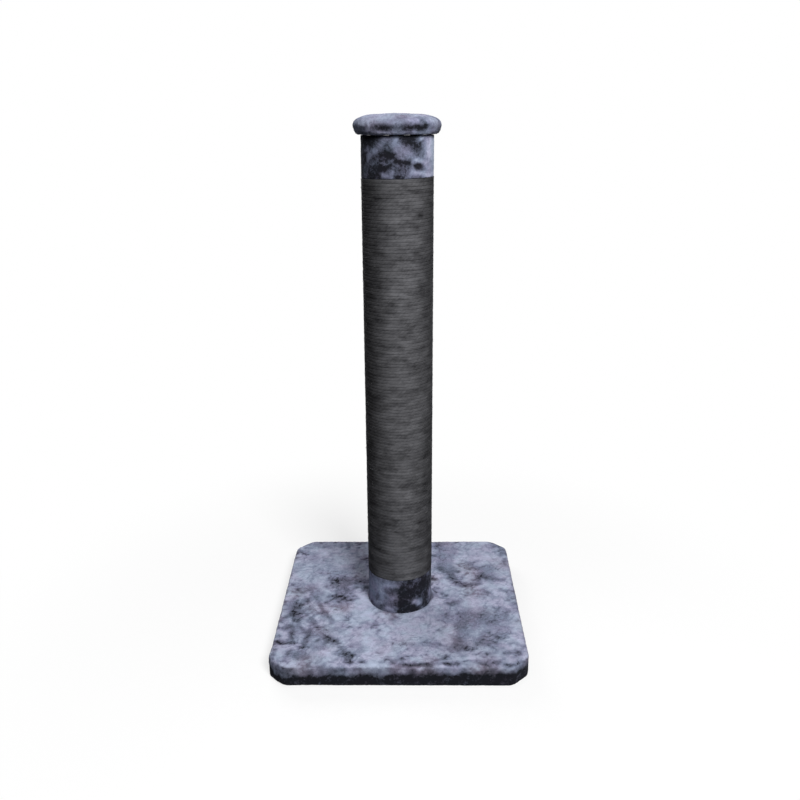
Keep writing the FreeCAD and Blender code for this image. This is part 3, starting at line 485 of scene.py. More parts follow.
def smooth_step(values):
    clipped = np.clip(values, 0.0, 1.0)
    return clipped * clipped * (3 - 2 * clipped)


# ---- the plush pieces ----

def shaded_side_tone(solid):
    """Tone of the base's sides, with painted shade: light over the rounded edge, nearly black towards
    the floor.
    """
    turn = 26 + 3.5 * solid[:, 0] / 180
    ragged = swells(solid, 35, (6.0, 18), (2.0, 6))
    upper = smooth_step((solid[:, 2] - turn + ragged) / 15 + 0.5)
    edge = 0.50 + swells(solid, 33, (0.40, 22), (0.25, 8))
    foot = -0.05 + swells(solid, 37, (0.12, 12), (0.05, 5))
    return foot + (edge - foot) * upper


FOLD_INSET, FOLD_REACH = 17 * MM, 62 * MM  # where a fold stands out most, and how far about it


def fold_corners(places, pile):
    """Lets the plush stand out where it is folded at the corners of the base."""
    for side_x, side_y, amount in CORNER_FOLDS:
        inset = HALF_SIDE - FOLD_INSET
        distance = np.hypot(places[:, 0] - side_x * inset, places[:, 1] - side_y * inset)
        near = smooth_step(1 - distance / FOLD_REACH) * pile
        level = smooth_step(1.25 - np.abs(places[:, 2] - 0.4 * COVER_TOP.z) / (0.9 * COVER_TOP.z))
        push = near * level * amount * MM * math.sqrt(0.5)
        places[:, 0] += side_x * push
        places[:, 1] += side_y * push
    return places


USUAL_TONE = 0.84  # the raised pile of the base; what is darker is made darker still
PRESSED_ROUND, PRESSED_BLEND = 3 * MM, 4 * MM  # pile pressed down about the post's foot
SEAT_AIR, FLOOR_AIR = 0.2 * MM, 0.05 * MM  # under the post's foot, and over the floor


def dress_base_cover(plush):
    piece = finished(cover_bmesh(plush.grid), "base_plush_cover", plush_material(plush))
    mesh = piece.data
    places, normals = places_of(mesh), normals_of(mesh)
    solid = places / MM
    pile = read_attribute(mesh, "pile").astype(float)
    upward = smooth_step((normals[:, 2] - 0.25) / 0.6)
    swell = swells(solid, 30, (0.34, 46), (0.40, 21), (0.34, 10))
    ground = 0.86 + np.where(swell < 0, 1.20 * swell, 0.60 * swell)
    tone = brushed_tone(solid[:, 0], solid[:, 1], solid, ground, BASE_STROKES, 1, 0.25, 5.0)
    tone -= 0.26 * creases(solid, 13, 0.16, 50) + 0.22 * creases(solid, 24, 0.09, 56)
    tone = USUAL_TONE + (tone - USUAL_TONE) * np.where(tone < USUAL_TONE, 1.32, 1.0)
    # Faces that don't look up take the sides' painted shade.
    tone = (0.10 + 0.90 * tone) * upward + shaded_side_tone(solid) * (1 - upward)
    rim = smooth_step((np.abs(solid[:, :2]).max(axis=1) - 238) / 10)
    crush(piece, tone, pile, plush.relief, 40, 0.45 * rim)
    places = fold_corners(places_of(mesh), pile)
    radius = np.hypot(places[:, 0], places[:, 1])
    standing = places[:, 2] > BOARD_TOP.z + 1 * MM
    pressed = smooth_step((FOOT_TOP.x + PRESSED_ROUND - radius) / PRESSED_BLEND) * standing
    seat = FOOT_LOW.z - SEAT_AIR
    places[:, 2] += (seat - places[:, 2]) * pressed
    lowest = np.where(pile > 0, FLOOR_AIR, places[:, 2])
    places[:, 2] = np.maximum(places[:, 2], np.minimum(lowest, BOARD_LOW.z))
    set_places(mesh, places)
    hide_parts("base_cover")
    return piece


def sleeve_profile(low, top, inner, outer, rounding, spacing):
    """Round the section of a sleeve: up the outside, over its edges and down the inside."""
    outside = arc((outer - rounding, low + rounding), rounding, -QUARTER, QUARTER, 3)
    rise = straight_profile((outer, low + rounding), (outer, top - rounding), spacing)[:-1]
    over = arc((outer - rounding, top - rounding), rounding, 0.0, QUARTER, 3)
    return outside + rise + over + [(inner, top), (inner, low)]


SLEEVE_AIR, SLEEVE_PILE, SLEEVE_ROUND = 0.25 * MM, 0.8 * MM, 1.6 * MM
SEAM_WIDTH, SEAM_DEPTH = 1.6, 1.8 * MM  # the first in mm, to each side


def dress_sleeve(plush, name, node, low, top, strokes, level, seed, edge_shift):
    """A plush band round the tube, butted at the back, whose edge follows the rope's turns."""
    inner, outer = TUBE_TOP.x + SLEEVE_AIR, top.x + SLEEVE_PILE
    spacing = plush.grid * 0.6
    steps = round(math.tau * outer / spacing)
    profile = sleeve_profile(low.z, top.z, inner, outer, SLEEVE_ROUND, spacing)
    piece = finished(spun(profile, steps, True), name, plush_material(plush))
    mesh = piece.data
    places = places_of(mesh)
    solid = places / MM
    radius = np.hypot(places[:, 0], places[:, 1])
    pile = smooth_step((radius - inner) / (outer - inner) * 2 - 0.8)
    across = unrolled(places, outer)
    half_round = math.pi * outer / MM
    ground = level + swells(solid, seed, (0.40, 19), (0.20, 7))
    tone = brushed_tone(across, solid[:, 2], solid, ground, strokes, seed, 0.1, 4.5, 2.8)
    seam = smooth_step(1.6 - (half_round - np.abs(across)) / SEAM_WIDTH)
    tone = tone * (1 - 0.7 * seam)
    crush(piece, tone, pile, plush.relief * 0.8, seed + 5)
    places, normals = places_of(mesh), normals_of(mesh)
    places -= normals * (seam * pile * SEAM_DEPTH)[:, None]
    turned = (across / half_round + 1) / 2
    places[:, 2] += edge_shift(turned, places[:, 2])
    set_places(mesh, places)
    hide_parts(node)
    return piece


CAP_FLAP_WIDTH, CAP_FOOT_ROUND, CAP_WAIST = 28 * MM, 10 * MM, 1.6 * MM
CAP_SHOULDER, CROWN_RISE, COVER_AIR = 24 * MM, 1.0 * MM, 0.3 * MM  # the foam, and air over it
PILE_SHOULDER, PILE_CROWN = 50 * MM, 1.6 * MM  # the same shapes on the outside of the plush
PILE_WIDEST = 1009 * MM  # height at which the cap is widest
LIT_CROWN_LEVEL, LIT_CROWN_BLEND = 1021, 5  # mm, over which the cap's top is painted lighter, as painted light


NEARLY_ALL = 0.99999  # of a quarter turn, so that no cosine falls below 0


def oval(middle, floor, wide, high, steps, fullness=2.0):
    """Points of a quarter oval from its side up to its top; over 2 it is fuller than an ellipse."""
    power = 2 / fullness
    return [(middle + wide * math.cos(a) ** power, floor + high * math.sin(a) ** power)
            for a in (QUARTER * k / steps * NEARLY_ALL for k in range(steps + 1))]


def crown_line(start_radius, start_height, rise, spacing):
    """Points of the shallow dome, from the shoulder in to the axis."""
    count = round(start_radius / spacing)
    return [(start_radius * (1 - k / count),
             start_height + rise * (1 - (1 - k / count) ** 2)) for k in range(1, count + 1)]


def dress_cap_cover(plush):
    """The plush bun on the cap: crowned, rounded at the shoulder, drawn in and turned under."""
    spacing = plush.grid * 0.65
    widest, waist = CAP_TOP.x, CAP_TOP.x - CAP_WAIST
    low, board_low, board_top = CAP_LOW.z, CAP_BOARD_LOW.z, CAP_BOARD_TOP.z
    flap = CAP_BOARD_TOP.x - CAP_FLAP_WIDTH
    bottom, rounded = waist - CAP_FOOT_ROUND, low + CAP_FOOT_ROUND
    foot = arc((bottom, rounded), CAP_FOOT_ROUND, -QUARTER, QUARTER, 6)
    side = [(waist + CAP_WAIST * math.sin(QUARTER * k / 4),
             rounded + (PILE_WIDEST - rounded) * k / 4) for k in range(1, 4)]
    outer_high = CAP_TOP.z - PILE_WIDEST
    start = widest - PILE_SHOULDER
    outside = straight_profile((flap, low), (bottom, low), 2 * spacing)[:-1]
    outside += foot + side + oval(start, PILE_WIDEST, PILE_SHOULDER, outer_high, 34, 2.3)
    outside += crown_line(start, PILE_WIDEST + outer_high, PILE_CROWN, spacing * 1.2)
    inner = CAP_BOARD_TOP.x + COVER_AIR
    foam_high = FOAM_TOP.z - CROWN_RISE - board_top + COVER_AIR
    inside = [(flap, low), (flap, board_low - SKIN_GAP), (inner, board_low - SKIN_GAP)]
    inside += oval(inner - CAP_SHOULDER, board_top, CAP_SHOULDER, foam_high, 5)
    inside += [(0.0, FOAM_TOP.z + COVER_AIR)]
    profile = inside[::-1] + outside
    steps = round(math.tau * widest / spacing)
    piece = finished(spun(profile, steps, False), "cap_plush_cover", plush_material(plush))
    mesh = piece.data
    places, normals = places_of(mesh), normals_of(mesh)
    solid = places / MM
    radius = np.hypot(places[:, 0], places[:, 1])
    pile = 1.0 - inside_of_cap(places, radius)
    across = unrolled(places, widest)
    # Painted light and shade: faces that look up get a lighter ground, lighter still over the crown,
    # the sides a darker one.
    upward = smooth_step((normals[:, 2] + 0.15) / 0.7)
    shaded_side_ground = 0.32 + swells(solid, 61, (0.40, 20), (0.20, 7))
    crown = smooth_step((solid[:, 2] - LIT_CROWN_LEVEL) / LIT_CROWN_BLEND)
    lit_top_ground = 0.50 + 0.26 * crown + swells(solid, 63, (0.24, 17), (0.18, 7))
    ground = shaded_side_ground * (1 - upward) + lit_top_ground * upward
    tone = brushed_tone(across, solid[:, 2], solid, ground, CAP_STROKES, 60, 0.1, 2.5, 3.2)
    crush(piece, tone, pile, plush.relief * 1.4, 66, 0.35)
    places = places_of(mesh)
    flap_part = (pile > 0) & (places[:, 2] < board_low) & (radius < bottom)
    places[:, 2] = np.where(flap_part, np.maximum(places[:, 2], low), places[:, 2])
    set_places(mesh, places)
    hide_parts("cap_cover")
    return piece


def inside_of_cap(places, radius):
    """1 on the hidden inner skin of the cap's cover, 0 on its outside."""
    inner = CAP_BOARD_TOP.x + COVER_AIR
    above_flap = places[:, 2] > CAP_BOARD_LOW.z - 2 * SKIN_GAP
    foam_line = FOAM_TOP.z + COVER_AIR + 0.05 * MM
    hidden = (radius < inner + 0.05 * MM) & above_flap & (places[:, 2] < foam_line)
    return hidden.astype(float)


def dress_cap_foam():
    """The foam crown inside the cap."""
    middle, floor = FOAM_TOP.x - CAP_SHOULDER, FOAM_LOW.z
    high = FOAM_TOP.z - CROWN_RISE - floor
    profile = [(0.0, floor)] + straight_profile((0.0, floor), (FOAM_TOP.x, floor), 8 * MM)[:-1]
    profile += oval(middle, floor, CAP_SHOULDER, high, 8)
    profile += crown_line(middle, floor + high, CROWN_RISE, 8 * MM)
    piece = finished(spun(profile, 72, False), "cap_foam", foam_material())
    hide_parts("cap_padding")
    return piece


CLOTH_CORNER = 295 * MM  # how far from the centre its corners are cut off
CLOTH_STAPLES, CLOTH_INSET = 8, 10 * MM  # on each side, and how far in from its ends
CLOTH_RIPPLE = 0.1 * MM
DRAWN_IN, DRAWN_EDGE = 0.0018, 0.9  # share drawn in between staples, and where that starts


def dress_backing_cloth():
    """The thin cloth stapled over the flap, drawn in a little between its staples."""
    bm = bmesh.new()
    half = CLOTH_TOP.x
    bmesh.ops.create_grid(bm, x_segments=96, y_segments=96, size=half)
    for corner in range(4):
        outward = Matrix.Rotation(math.radians(45 + 90 * corner), 3, "Z") @ Vector((1, 0, 0))
        bmesh.ops.bisect_plane(bm, geom=bm.verts[:] + bm.edges[:] + bm.faces[:], dist=1e-6,
                               plane_co=outward * CLOTH_CORNER, plane_no=outward,
                               clear_outer=True)
    thick = CLOTH_TOP.z - CLOTH_LOW.z
    staple_step = 2 * (half - CLOTH_INSET) / CLOTH_STAPLES
    for vert in bm.verts:
        x, y = vert.co.x, vert.co.y
        edge = max(abs(x), abs(y)) / half
        along = x if abs(y) > abs(x) else y
        pull = math.cos(math.tau * (along + half - CLOTH_INSET) / staple_step)
        scale = 1 - DRAWN_IN * pull * max(0.0, edge - DRAWN_EDGE) * 10
        ripple = CLOTH_RIPPLE * noise.noise(vert.co * 30)
        vert.co = (x * scale, y * scale, CLOTH_LOW.z + ripple)
    grown = bmesh.ops.extrude_face_region(bm, geom=bm.faces[:])["geom"]
    bmesh.ops.translate(bm, vec=(0, 0, thick - CLOTH_RIPPLE),
                        verts=[g for g in grown if isinstance(g, bmesh.types.BMVert)])
    bmesh.ops.recalc_face_normals(bm, faces=bm.faces)
    piece = finished(bm, "base_backing", cloth_material())
    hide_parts("base_backing_cloth")
    return piece


# ---- the rope ----

ROPE_AIR = 0.15 * MM
ROPE_FILL = 0.505  # the rope's radius as a share of the pitch: its turns press together
START_TURN = 0.25  # the winding starts at the back of the post
PRESSED = 1.05  # how much wider along the post the rope is than it stands out
# Degrees round the rope's section, and where the mesh's points there are gathered to.
GATHERED = ((0, 25.7, 51.4, 77.1, 102.9, 128.6, 154.3, 180), (0, 19, 34, 43, 54, 90, 135, 180))


class Winding:
    """The rope's helix, from the lower sleeve to the upper one."""

    def __init__(self, rope):
        high = NECK_LOW.z - FOOT_TOP.z
        self.turns = round(high / rope.pitch) - 1
        self.pitch = high / (self.turns + 1)
        self.radius = ROPE_FILL * self.pitch
        self.centre = TUBE_TOP.x + ROPE_AIR + self.radius
        self.first = FOOT_TOP.z + self.pitch / 2


# Painted light on the rope: lightest this many degrees right of the viewer, with painted shade beyond
# the width
LIT_TOWARDS, LIT_WIDTH = 8.0, 66.0  # degrees to the viewer's right of -Y, and to each side


def painted_front_light(solid):
    """Painted light on the rope, 0 to 1: lightest in front, painted shade towards the sides, a weaker
    painted light behind; solid in mm.
    """
    heading = np.degrees(np.arctan2(solid[:, 0], -solid[:, 1]))
    away = np.abs((heading - LIT_TOWARDS + 180) % 360 - 180)
    ragged = 9.0 * waviness(solid, 30, 15) + 5.0 * waviness(solid * (0.5, 0.5, 1.0), 9, 16)
    # a weaker painted light on the back of the post
    behind = 0.6 * smooth_step((away + ragged - 95) / 50)
    return smooth_step(1 - (away + ragged) / LIT_WIDTH) + behind


SQUARENESS = 8  # exponent of the pressed section: 2 is round, more is squarer
SWAY_OUT, SWAY_UP = (0.35 * MM, 45), (0.60 * MM, 60)  # how far the rope sways, and mm of it


def lay_strands(mesh, rope, winding):
    """Lays three strands along the rope and keeps where each point lies on it.

    The points gather on the side away from the tube, where the rope is pressed flat.
    """
    places = places_of(mesh)
    turn = np.arctan2(places[:, 1], places[:, 0]) / math.tau - START_TURN
    climb = (places[:, 2] - winding.first) / winding.pitch
    turns = turn + np.round(climb - turn)
    run = turns * math.tau * winding.centre
    centre_z = winding.first + winding.pitch * turns
    out = np.hypot(places[:, 0], places[:, 1]) - winding.centre
    up = places[:, 2] - centre_z
    around = np.arctan2(up, out)
    around = np.sign(around) * np.radians(np.interp(np.degrees(np.abs(around)), *GATHERED))
    lay = around - math.tau * run / rope.strands_per_turn
    spots = np.stack([run / MM, np.cos(around) * 3, np.sin(around) * 3], axis=1)
    lobes = np.abs(np.cos(1.5 * lay)) ** 0.8
    rough = waviness(spots, 3.0, 10)
    squeezed = (np.abs(np.cos(around)) ** SQUARENESS
                + np.abs(np.sin(around)) ** SQUARENESS) ** (-1 / SQUARENESS)
    reach = winding.radius * squeezed * (0.98 + 0.05 * lobes + 0.06 * rough)
    path = np.stack([run / MM, turns * 0, turns * 0], axis=1)
    new_out = winding.centre + np.cos(around) * reach + swells(path, 5, SWAY_OUT)
    new_up = centre_z + np.sin(around) * reach * PRESSED + swells(path, 6, SWAY_UP)
    angle = (turn + START_TURN) * math.tau
    set_places(mesh, np.stack([new_out * np.cos(angle), new_out * np.sin(angle), new_up], axis=1))
    add_attribute(mesh, "run", run)
    add_attribute(mesh, "lay", lay)
    # 1 in the grooves between the strands, where the rope's colour gets painted shade
    add_attribute(mesh, "groove_shade", 1.0 - lobes)
    add_attribute(mesh, "rope_painted_light", painted_front_light(places / MM))


def add_rope_map(mesh, winding, first_turn, turns):
    """A UV map of the winding's turns as rows, for a bake."""
    layer = mesh.uv_layers.new(name="OFBake")
    corners = whole_numbers_of(mesh.loops, "vertex_index")
    run = read_attribute(mesh, "run")[corners].astype(float)
    places = places_of(mesh)[corners]
    turn = run / (math.tau * winding.centre)
    row = turn - first_turn
    up = places[:, 2] - (winding.first + winding.pitch * turn)
    out = np.hypot(places[:, 0], places[:, 1]) - winding.centre
    around = (np.arctan2(up, out) / math.tau) % 1.0
    starts = whole_numbers_of(mesh.polygons, "loop_start")
    face = np.repeat(np.arange(len(starts)), whole_numbers_of(mesh.polygons, "loop_total"))
    row_of_face = np.floor(np.minimum.reduceat(row, starts) + 1e-4)
    widest = np.maximum.reduceat(around, starts) - np.minimum.reduceat(around, starts)
    wraps = (widest > 0.5)[face] & (around < 0.5)
    u = np.clip(row - row_of_face[face], 0, 1.02) / 1.04 + 0.01
    v = (row_of_face[face] + 0.04 + 0.84 * (around + wraps) / 1.1) / (turns + 1)
    layer.data.foreach_set("uv", np.stack([u, v], axis=1).ravel().astype(np.float32))


def wind_rope(rope, winding, number, first_turn, turns, material):
    """One length of the winding: a round section spun up the post, then laid in strands."""
    bm = bmesh.new()
    angle = math.tau * (START_TURN + first_turn)
    height = winding.first + winding.pitch * first_turn
    stand = Matrix.Rotation(math.pi / 2, 4, "X")
    place = (Matrix.Rotation(angle, 4, "Z")
             @ Matrix.Translation((winding.centre, 0, height)) @ stand)
    bmesh.ops.create_circle(bm, segments=rope.sides, radius=winding.radius, matrix=place)
    bmesh.ops.spin(
        bm, geom=bm.verts[:] + bm.edges[:], cent=(0, 0, 0), axis=(0, 0, 1),
        dvec=(0, 0, winding.pitch / rope.steps), angle=math.tau, steps=rope.steps,
        use_merge=False, use_duplicate=False)
    one_turn = bm.verts[:] + bm.edges[:] + bm.faces[:]
    for turn in range(1, turns):
        copy = bmesh.ops.duplicate(bm, geom=one_turn)["geom"]
        bmesh.ops.translate(bm, vec=(0, 0, winding.pitch * turn),
                            verts=[item for item in copy if isinstance(item, bmesh.types.BMVert)])
    bmesh.ops.remove_doubles(bm, verts=bm.verts, dist=0.05 * MM)
    bmesh.ops.holes_fill(bm, edges=[edge for edge in bm.edges if edge.is_boundary])
    bmesh.ops.recalc_face_normals(bm, faces=bm.faces)
    piece = finished(bm, f"rope_winding_{number}", material)
    lay_strands(piece.data, rope, winding)
    add_rope_map(piece.data, winding, first_turn, turns)
    return piece


FIBRE_BUNDLES, FIBRES_A_BUNDLE = 36, 40
FIBRE_LENGTHS, FIBRE_RADII, FIBRE_TIP = (3.0, 9.0), (0.10, 0.18), 0.03 * MM  # the ranges in mm


def fibre_bundle(winding, rng, first_turn, turns):
    """Short sisal ends that stand out of a stretch of the rope."""
    bm = bmesh.new()
    for _ in range(FIBRES_A_BUNDLE):
        turn = first_turn + rng.uniform(0, turns)
        angle = math.tau * (START_TURN + turn)
        height = winding.first + winding.pitch * (turn + rng.uniform(-0.3, 0.3))
        length = rng.uniform(*FIBRE_LENGTHS) * MM
        lift, swing = rng.uniform(0.12, 0.6), rng.uniform(-0.6, 0.6)
        side = rng.choice((-1, 1))
        heading = (Matrix.Rotation(side * (math.pi / 2 - lift), 4, "Z")
                   @ Vector((1, 0, 0))) + Vector((0, 0, swing))
        aim = heading.normalized().to_track_quat("Z", "X").to_matrix().to_4x4()
        root = Matrix.Translation((winding.centre + winding.radius * 0.85, 0, height))
        place = Matrix.Rotation(angle, 4, "Z") @ root @ aim
        middle = Matrix.Translation((0, 0, length / 2))
        bmesh.ops.create_cone(
            bm, cap_ends=True, segments=3, radius1=rng.uniform(*FIBRE_RADII) * MM,
            radius2=FIBRE_TIP, depth=length, matrix=place @ middle)
    return bm


def loose_fibres(winding):
    """All the loose ends of the winding, bundle by bundle."""
    rng = np.random.default_rng(12)
    whole = bmesh.new()
    share = winding.turns / FIBRE_BUNDLES
    for number in range(FIBRE_BUNDLES):
        bundle = fibre_bundle(winding, rng, share * number, share)
        scratch = bpy.data.meshes.new("bundle")
        bundle.to_mesh(scratch)
        bundle.free()
        whole.from_mesh(scratch)
        bpy.data.meshes.remove(scratch)
    return whole


# ---- node groups and materials ----

class Nodes:
    """A node tree with short calls to add nodes, set their sockets and link them."""

    def __init__(self, tree):
        self.tree = tree
        self.column = 0

    def add(self, kind, settings=None, **inputs):
        item = self.tree.nodes.new(kind)
        self.column += 1
        item.location = (self.column * 180, 0)
        for name, value in (settings or {}).items():
            setattr(item, name, value)
        for name, value in inputs.items():
            self.feed(item.inputs[name.replace("_", " ")], value)
        return item

    def feed(self, socket, value):
        """Links a socket to an output, or sets its number, vector or colour."""
        if isinstance(value, bpy.types.NodeSocket):
            self.tree.links.new(value, socket)
        elif socket.type == "RGBA":
            socket.default_value = (*value[:3], 1.0)
        else:
            socket.default_value = value

    def numbered(self, kind, settings, inputs):
        """Adds a node whose sockets are told apart by their numbers."""
        item = self.add(kind, settings)
        for number, value in inputs.items():
            self.feed(item.inputs[number], value)
        return item

    def math(self, operation, *values):
        return self.numbered("ShaderNodeMath", {"operation": operation},
                             dict(enumerate(values))).outputs[0]

    def mix(self, share, a, b, blend="MIX"):
        return self.numbered("ShaderNodeMix", {"data_type": "RGBA", "blend_type": blend},
                             {0: share, 6: a, 7: b}).outputs[2]

    def span(self, value, low, high, to_low=0.0, to_high=1.0, kind="LINEAR"):
        return self.numbered("ShaderNodeMapRange", {"interpolation_type": kind},
                             dict(enumerate((value, low, high, to_low, to_high)))).outputs[0]

    def noise(self, vector, scale, detail=2.0, rough=0.5, distortion=0.0):
        return self.add("ShaderNodeTexNoise", Vector=vector, Scale=scale, Detail=detail,
                        Roughness=rough, Distortion=distortion).outputs["Fac"]

    def cells(self, vector, scale, randomness=1.0):
        return self.add("ShaderNodeTexVoronoi", Vector=vector, Scale=scale,
                        Randomness=randomness).outputs

    def grain(self, vector, scale):
        return self.add("ShaderNodeGroup", {"node_tree": grain_group()}, Place=vector,
                        Scale=scale).outputs[0]

    def object_place(self):
        return self.add("ShaderNodeTexCoord").outputs["Object"]

    def stretched(self, vector, scale, turn=(0, 0, 0)):
        return self.add("ShaderNodeMapping", Vector=vector, Scale=scale, Rotation=turn).outputs[0]

    def attribute(self, name):
        return self.add("ShaderNodeAttribute", {"attribute_name": name}).outputs["Fac"]

    def bump(self, height, distance, strength):
        return self.add("ShaderNodeBump", Height=height, Distance=distance,
                        Strength=strength).outputs[0]

    def seen(self):
        """1 for what the camera sees, also by way of a mirror or through glass."""
        path = self.add("ShaderNodeLightPath").outputs
        seen = self.math("MAXIMUM", path["Is Camera Ray"], path["Is Glossy Ray"])
        return self.math("MAXIMUM", seen, path["Is Transmission Ray"])


class Material(Nodes):
    """The node tree of a new material, with its shader."""

    def __init__(self, name):
        self.material = bpy.data.materials.new(name)
        self.material.use_nodes = True
        super().__init__(self.material.node_tree)
        self.shader = self.tree.nodes["Principled BSDF"]

    def finish(self, colour, roughness, normal=None, **numbers):
        """Feeds the shader and gives back the material."""
        self.feed(self.shader.inputs["Base Color"], colour)
        self.feed(self.shader.inputs["Roughness"], roughness)
        if normal:
            self.feed(self.shader.inputs["Normal"], normal)
        for name, value in numbers.items():
            self.feed(self.shader.inputs[name.replace("_", " ")], value)
        return self.material


FLOAT, VECTOR = "NodeSocketFloat", "NodeSocketVector"


def new_group(name, **inputs):
    """An empty node group with named inputs and one output, Value."""
    group = bpy.data.node_groups.new(name, "ShaderNodeTree")
    for socket_name, kind in inputs.items():
        group.interface.new_socket(socket_name, in_out="INPUT", socket_type=kind)
    group.interface.new_socket("Value", in_out="OUTPUT", socket_type=FLOAT)
    nodes = Nodes(group)
    return group, nodes, nodes.add("NodeGroupInput").outputs


def fibre_group():
    """Fine fibres: a value that changes along and across short hairs."""
    group, nodes, given = new_group("Short Fibres", Place=VECTOR, Fineness=FLOAT)
    leaning = nodes.span(nodes.noise(given["Place"], 55.0), 0.42, 0.58, kind="SMOOTHSTEP")
    hairs = [nodes.noise(nodes.stretched(given["Place"], (1.0, 0.28, 1.0), turn),
                         given["Fineness"], 2.0, 0.6)
             for turn in ((0.3, 0.2, 0.5), (0.1, 0.5, 2.0))]
    both = nodes.numbered("ShaderNodeMix", {}, {0: leaning, 2: hairs[0], 3: hairs[1]})
    nodes.add("NodeGroupOutput", Value=both.outputs[0])
    return group


def grain_group():
    """Long grain for wood and card."""
    name = "Long Grain"
    if name in bpy.data.node_groups:
        return bpy.data.node_groups[name]
    group, nodes, given = new_group(name, Place=VECTOR, Scale=FLOAT)
    value = nodes.noise(given["Place"], given["Scale"], 5.0, 0.6, 0.3)
    nodes.add("NodeGroupOutput", Value=value)
    return group


DULL = 0.005  # specular level of pile and rope, which show next to no gloss


def plush_material(plush):
    """Crushed plush: tone from the pile's lie and painted light and shade, tufts and fine hairs, a
    soft sheen.
    """
    name = "Crushed Plush"
    if name in bpy.data.materials:
        return bpy.data.materials[name]
    nodes = Material(name)
    place = nodes.object_place()
    fibres = nodes.add("ShaderNodeGroup", {"node_tree": fibre_group()}, Place=place,
                       Fineness=650.0).outputs[0]
    tufts = nodes.noise(place, 190.0, 2.0, 0.55, 0.8)
    flecks = nodes.noise(place, 85.0, 2.0, 0.5, 1.2)
    tone = nodes.attribute("tone")
    for value, amount in ((fibres, 0.36), (tufts, 0.38), (flecks, 0.40)):
        tone = nodes.math("MULTIPLY_ADD", nodes.math("SUBTRACT", value, 0.5), amount, tone)
    middle = nodes.mix(nodes.attribute("warm"), plush.middle, plush.warm)
    colour = nodes.mix(nodes.span(tone, 0.0, 0.5), plush.dark, middle)
    colour = nodes.mix(nodes.span(tone, 0.5, 1.08), colour, plush.light)
    cast = nodes.span(nodes.noise(place, 34.0), 0.38, 0.62)
    cool = nodes.mix(cast, (1.02, 0.985, 1.0), (0.95, 1.02, 1.0))
    height = nodes.math("MULTIPLY_ADD", tufts, 1.6, fibres)
    return nodes.finish(
        nodes.mix(1.0, colour, cool, "MULTIPLY"), nodes.span(tone, 0.0, 1.0, 0.92, 0.80),
        nodes.bump(height, 1.0 * MM, 0.7), Specular_IOR_Level=DULL, Sheen_Weight=0.05,
        Sheen_Roughness=0.45, Sheen_Tint=(0.80, 0.83, 1.0))


def rope_material(rope):
    """Dyed sisal: hard fibres that follow the strands, with painted light in front and painted shade
    on the sides and in the grooves of the lay.
    """
    nodes = Material("Sisal Rope")
    run, lay, groove_shade = (nodes.attribute(name) for name in ("run", "lay", "groove_shade"))
    across = nodes.math("MULTIPLY", lay, 3.0 * MM)
    spot = nodes.add("ShaderNodeCombineXYZ", X=run, Y=across).outputs[0]
    hairs = nodes.noise(nodes.stretched(spot, (0.10, 1.0, 1.0)), 1900.0, 3.0, 0.65)
    streaks = nodes.noise(nodes.stretched(spot, (0.30, 1.0, 1.0)), 330.0)
    place = nodes.object_place()
    worn = nodes.noise(nodes.stretched(place, (0.5, 0.5, 1.3)), 62.0, 3.0, 0.6)
    patches = nodes.noise(nodes.stretched(place, (0.4, 0.4, 1.0)), 34.0, 3.0, 0.6)
    value = nodes.math("MULTIPLY", hairs, 0.40)
    # the grooves of the lay take a little painted shade
    for part, amount in ((streaks, 0.50), (worn, 1.45), (patches, 0.75), (groove_shade, -0.08)):
        value = nodes.math("MULTIPLY_ADD", part, amount, value)
    colour = nodes.mix(nodes.span(value, 1.05, 1.98), rope.dark, rope.light)
    # painted light and shade round the post: full colour in front, half on the sides
    painted_light_share = nodes.span(nodes.attribute("rope_painted_light"), 0.0, 1.0, 0.50, 1.08)
    shade = nodes.add("ShaderNodeVectorMath", {"operation": "SCALE"}, Scale=painted_light_share)
    nodes.feed(shade.inputs[0], colour)
    return nodes.finish(shade.outputs[0], nodes.span(hairs, 0.3, 0.7, 0.75, 0.55),
                        nodes.bump(hairs, 0.35 * MM, 0.7), Specular_IOR_Level=DULL)


def fibre_material(rope):
    """Loose sisal ends, from dyed to pale."""
    nodes = Material("Loose Sisal")
    tint = nodes.noise(nodes.object_place(), 90.0)
    return nodes.finish(nodes.mix(nodes.span(tint, 0.35, 0.65), rope.dark, rope.light),
                        nodes.span(tint, 0.3, 0.7, 0.7, 0.5))


def cloth_material():
    """Black non-woven cloth with its rows of pressed dots."""
    nodes = Material("Backing Cloth")
    place = nodes.object_place()
    dots = nodes.cells(nodes.stretched(place, (1, 1, 0.01), (0, 0, 0.785)), 420.0, 0.0)
    web = nodes.noise(nodes.stretched(place, (1.0, 0.35, 1.0)), 900.0, 4.0, 0.7)
    pressed = nodes.span(dots["Distance"], 0.18, 0.30, kind="SMOOTHSTEP")
    value = nodes.math("MULTIPLY", web, pressed)
    return nodes.finish(nodes.mix(value, (0.008, 0.008, 0.009), (0.045, 0.045, 0.05)),
                        nodes.span(pressed, 0, 1, 0.55, 0.9), nodes.bump(value, 0.4 * MM, 0.8))


def foam_material():
    """Cream foam with open cells, painted shade in their pits."""
    nodes = Material("Cushion Foam")
    cells = nodes.cells(nodes.object_place(), 700.0)["Distance"]
    # the cells' pits are painted darker as shade
    return nodes.finish(nodes.mix(cells, (0.42, 0.36, 0.24), (0.78, 0.73, 0.60)),
                        nodes.span(cells, 0, 1, 0.95, 0.8), nodes.bump(cells, 0.8 * MM, 0.8))


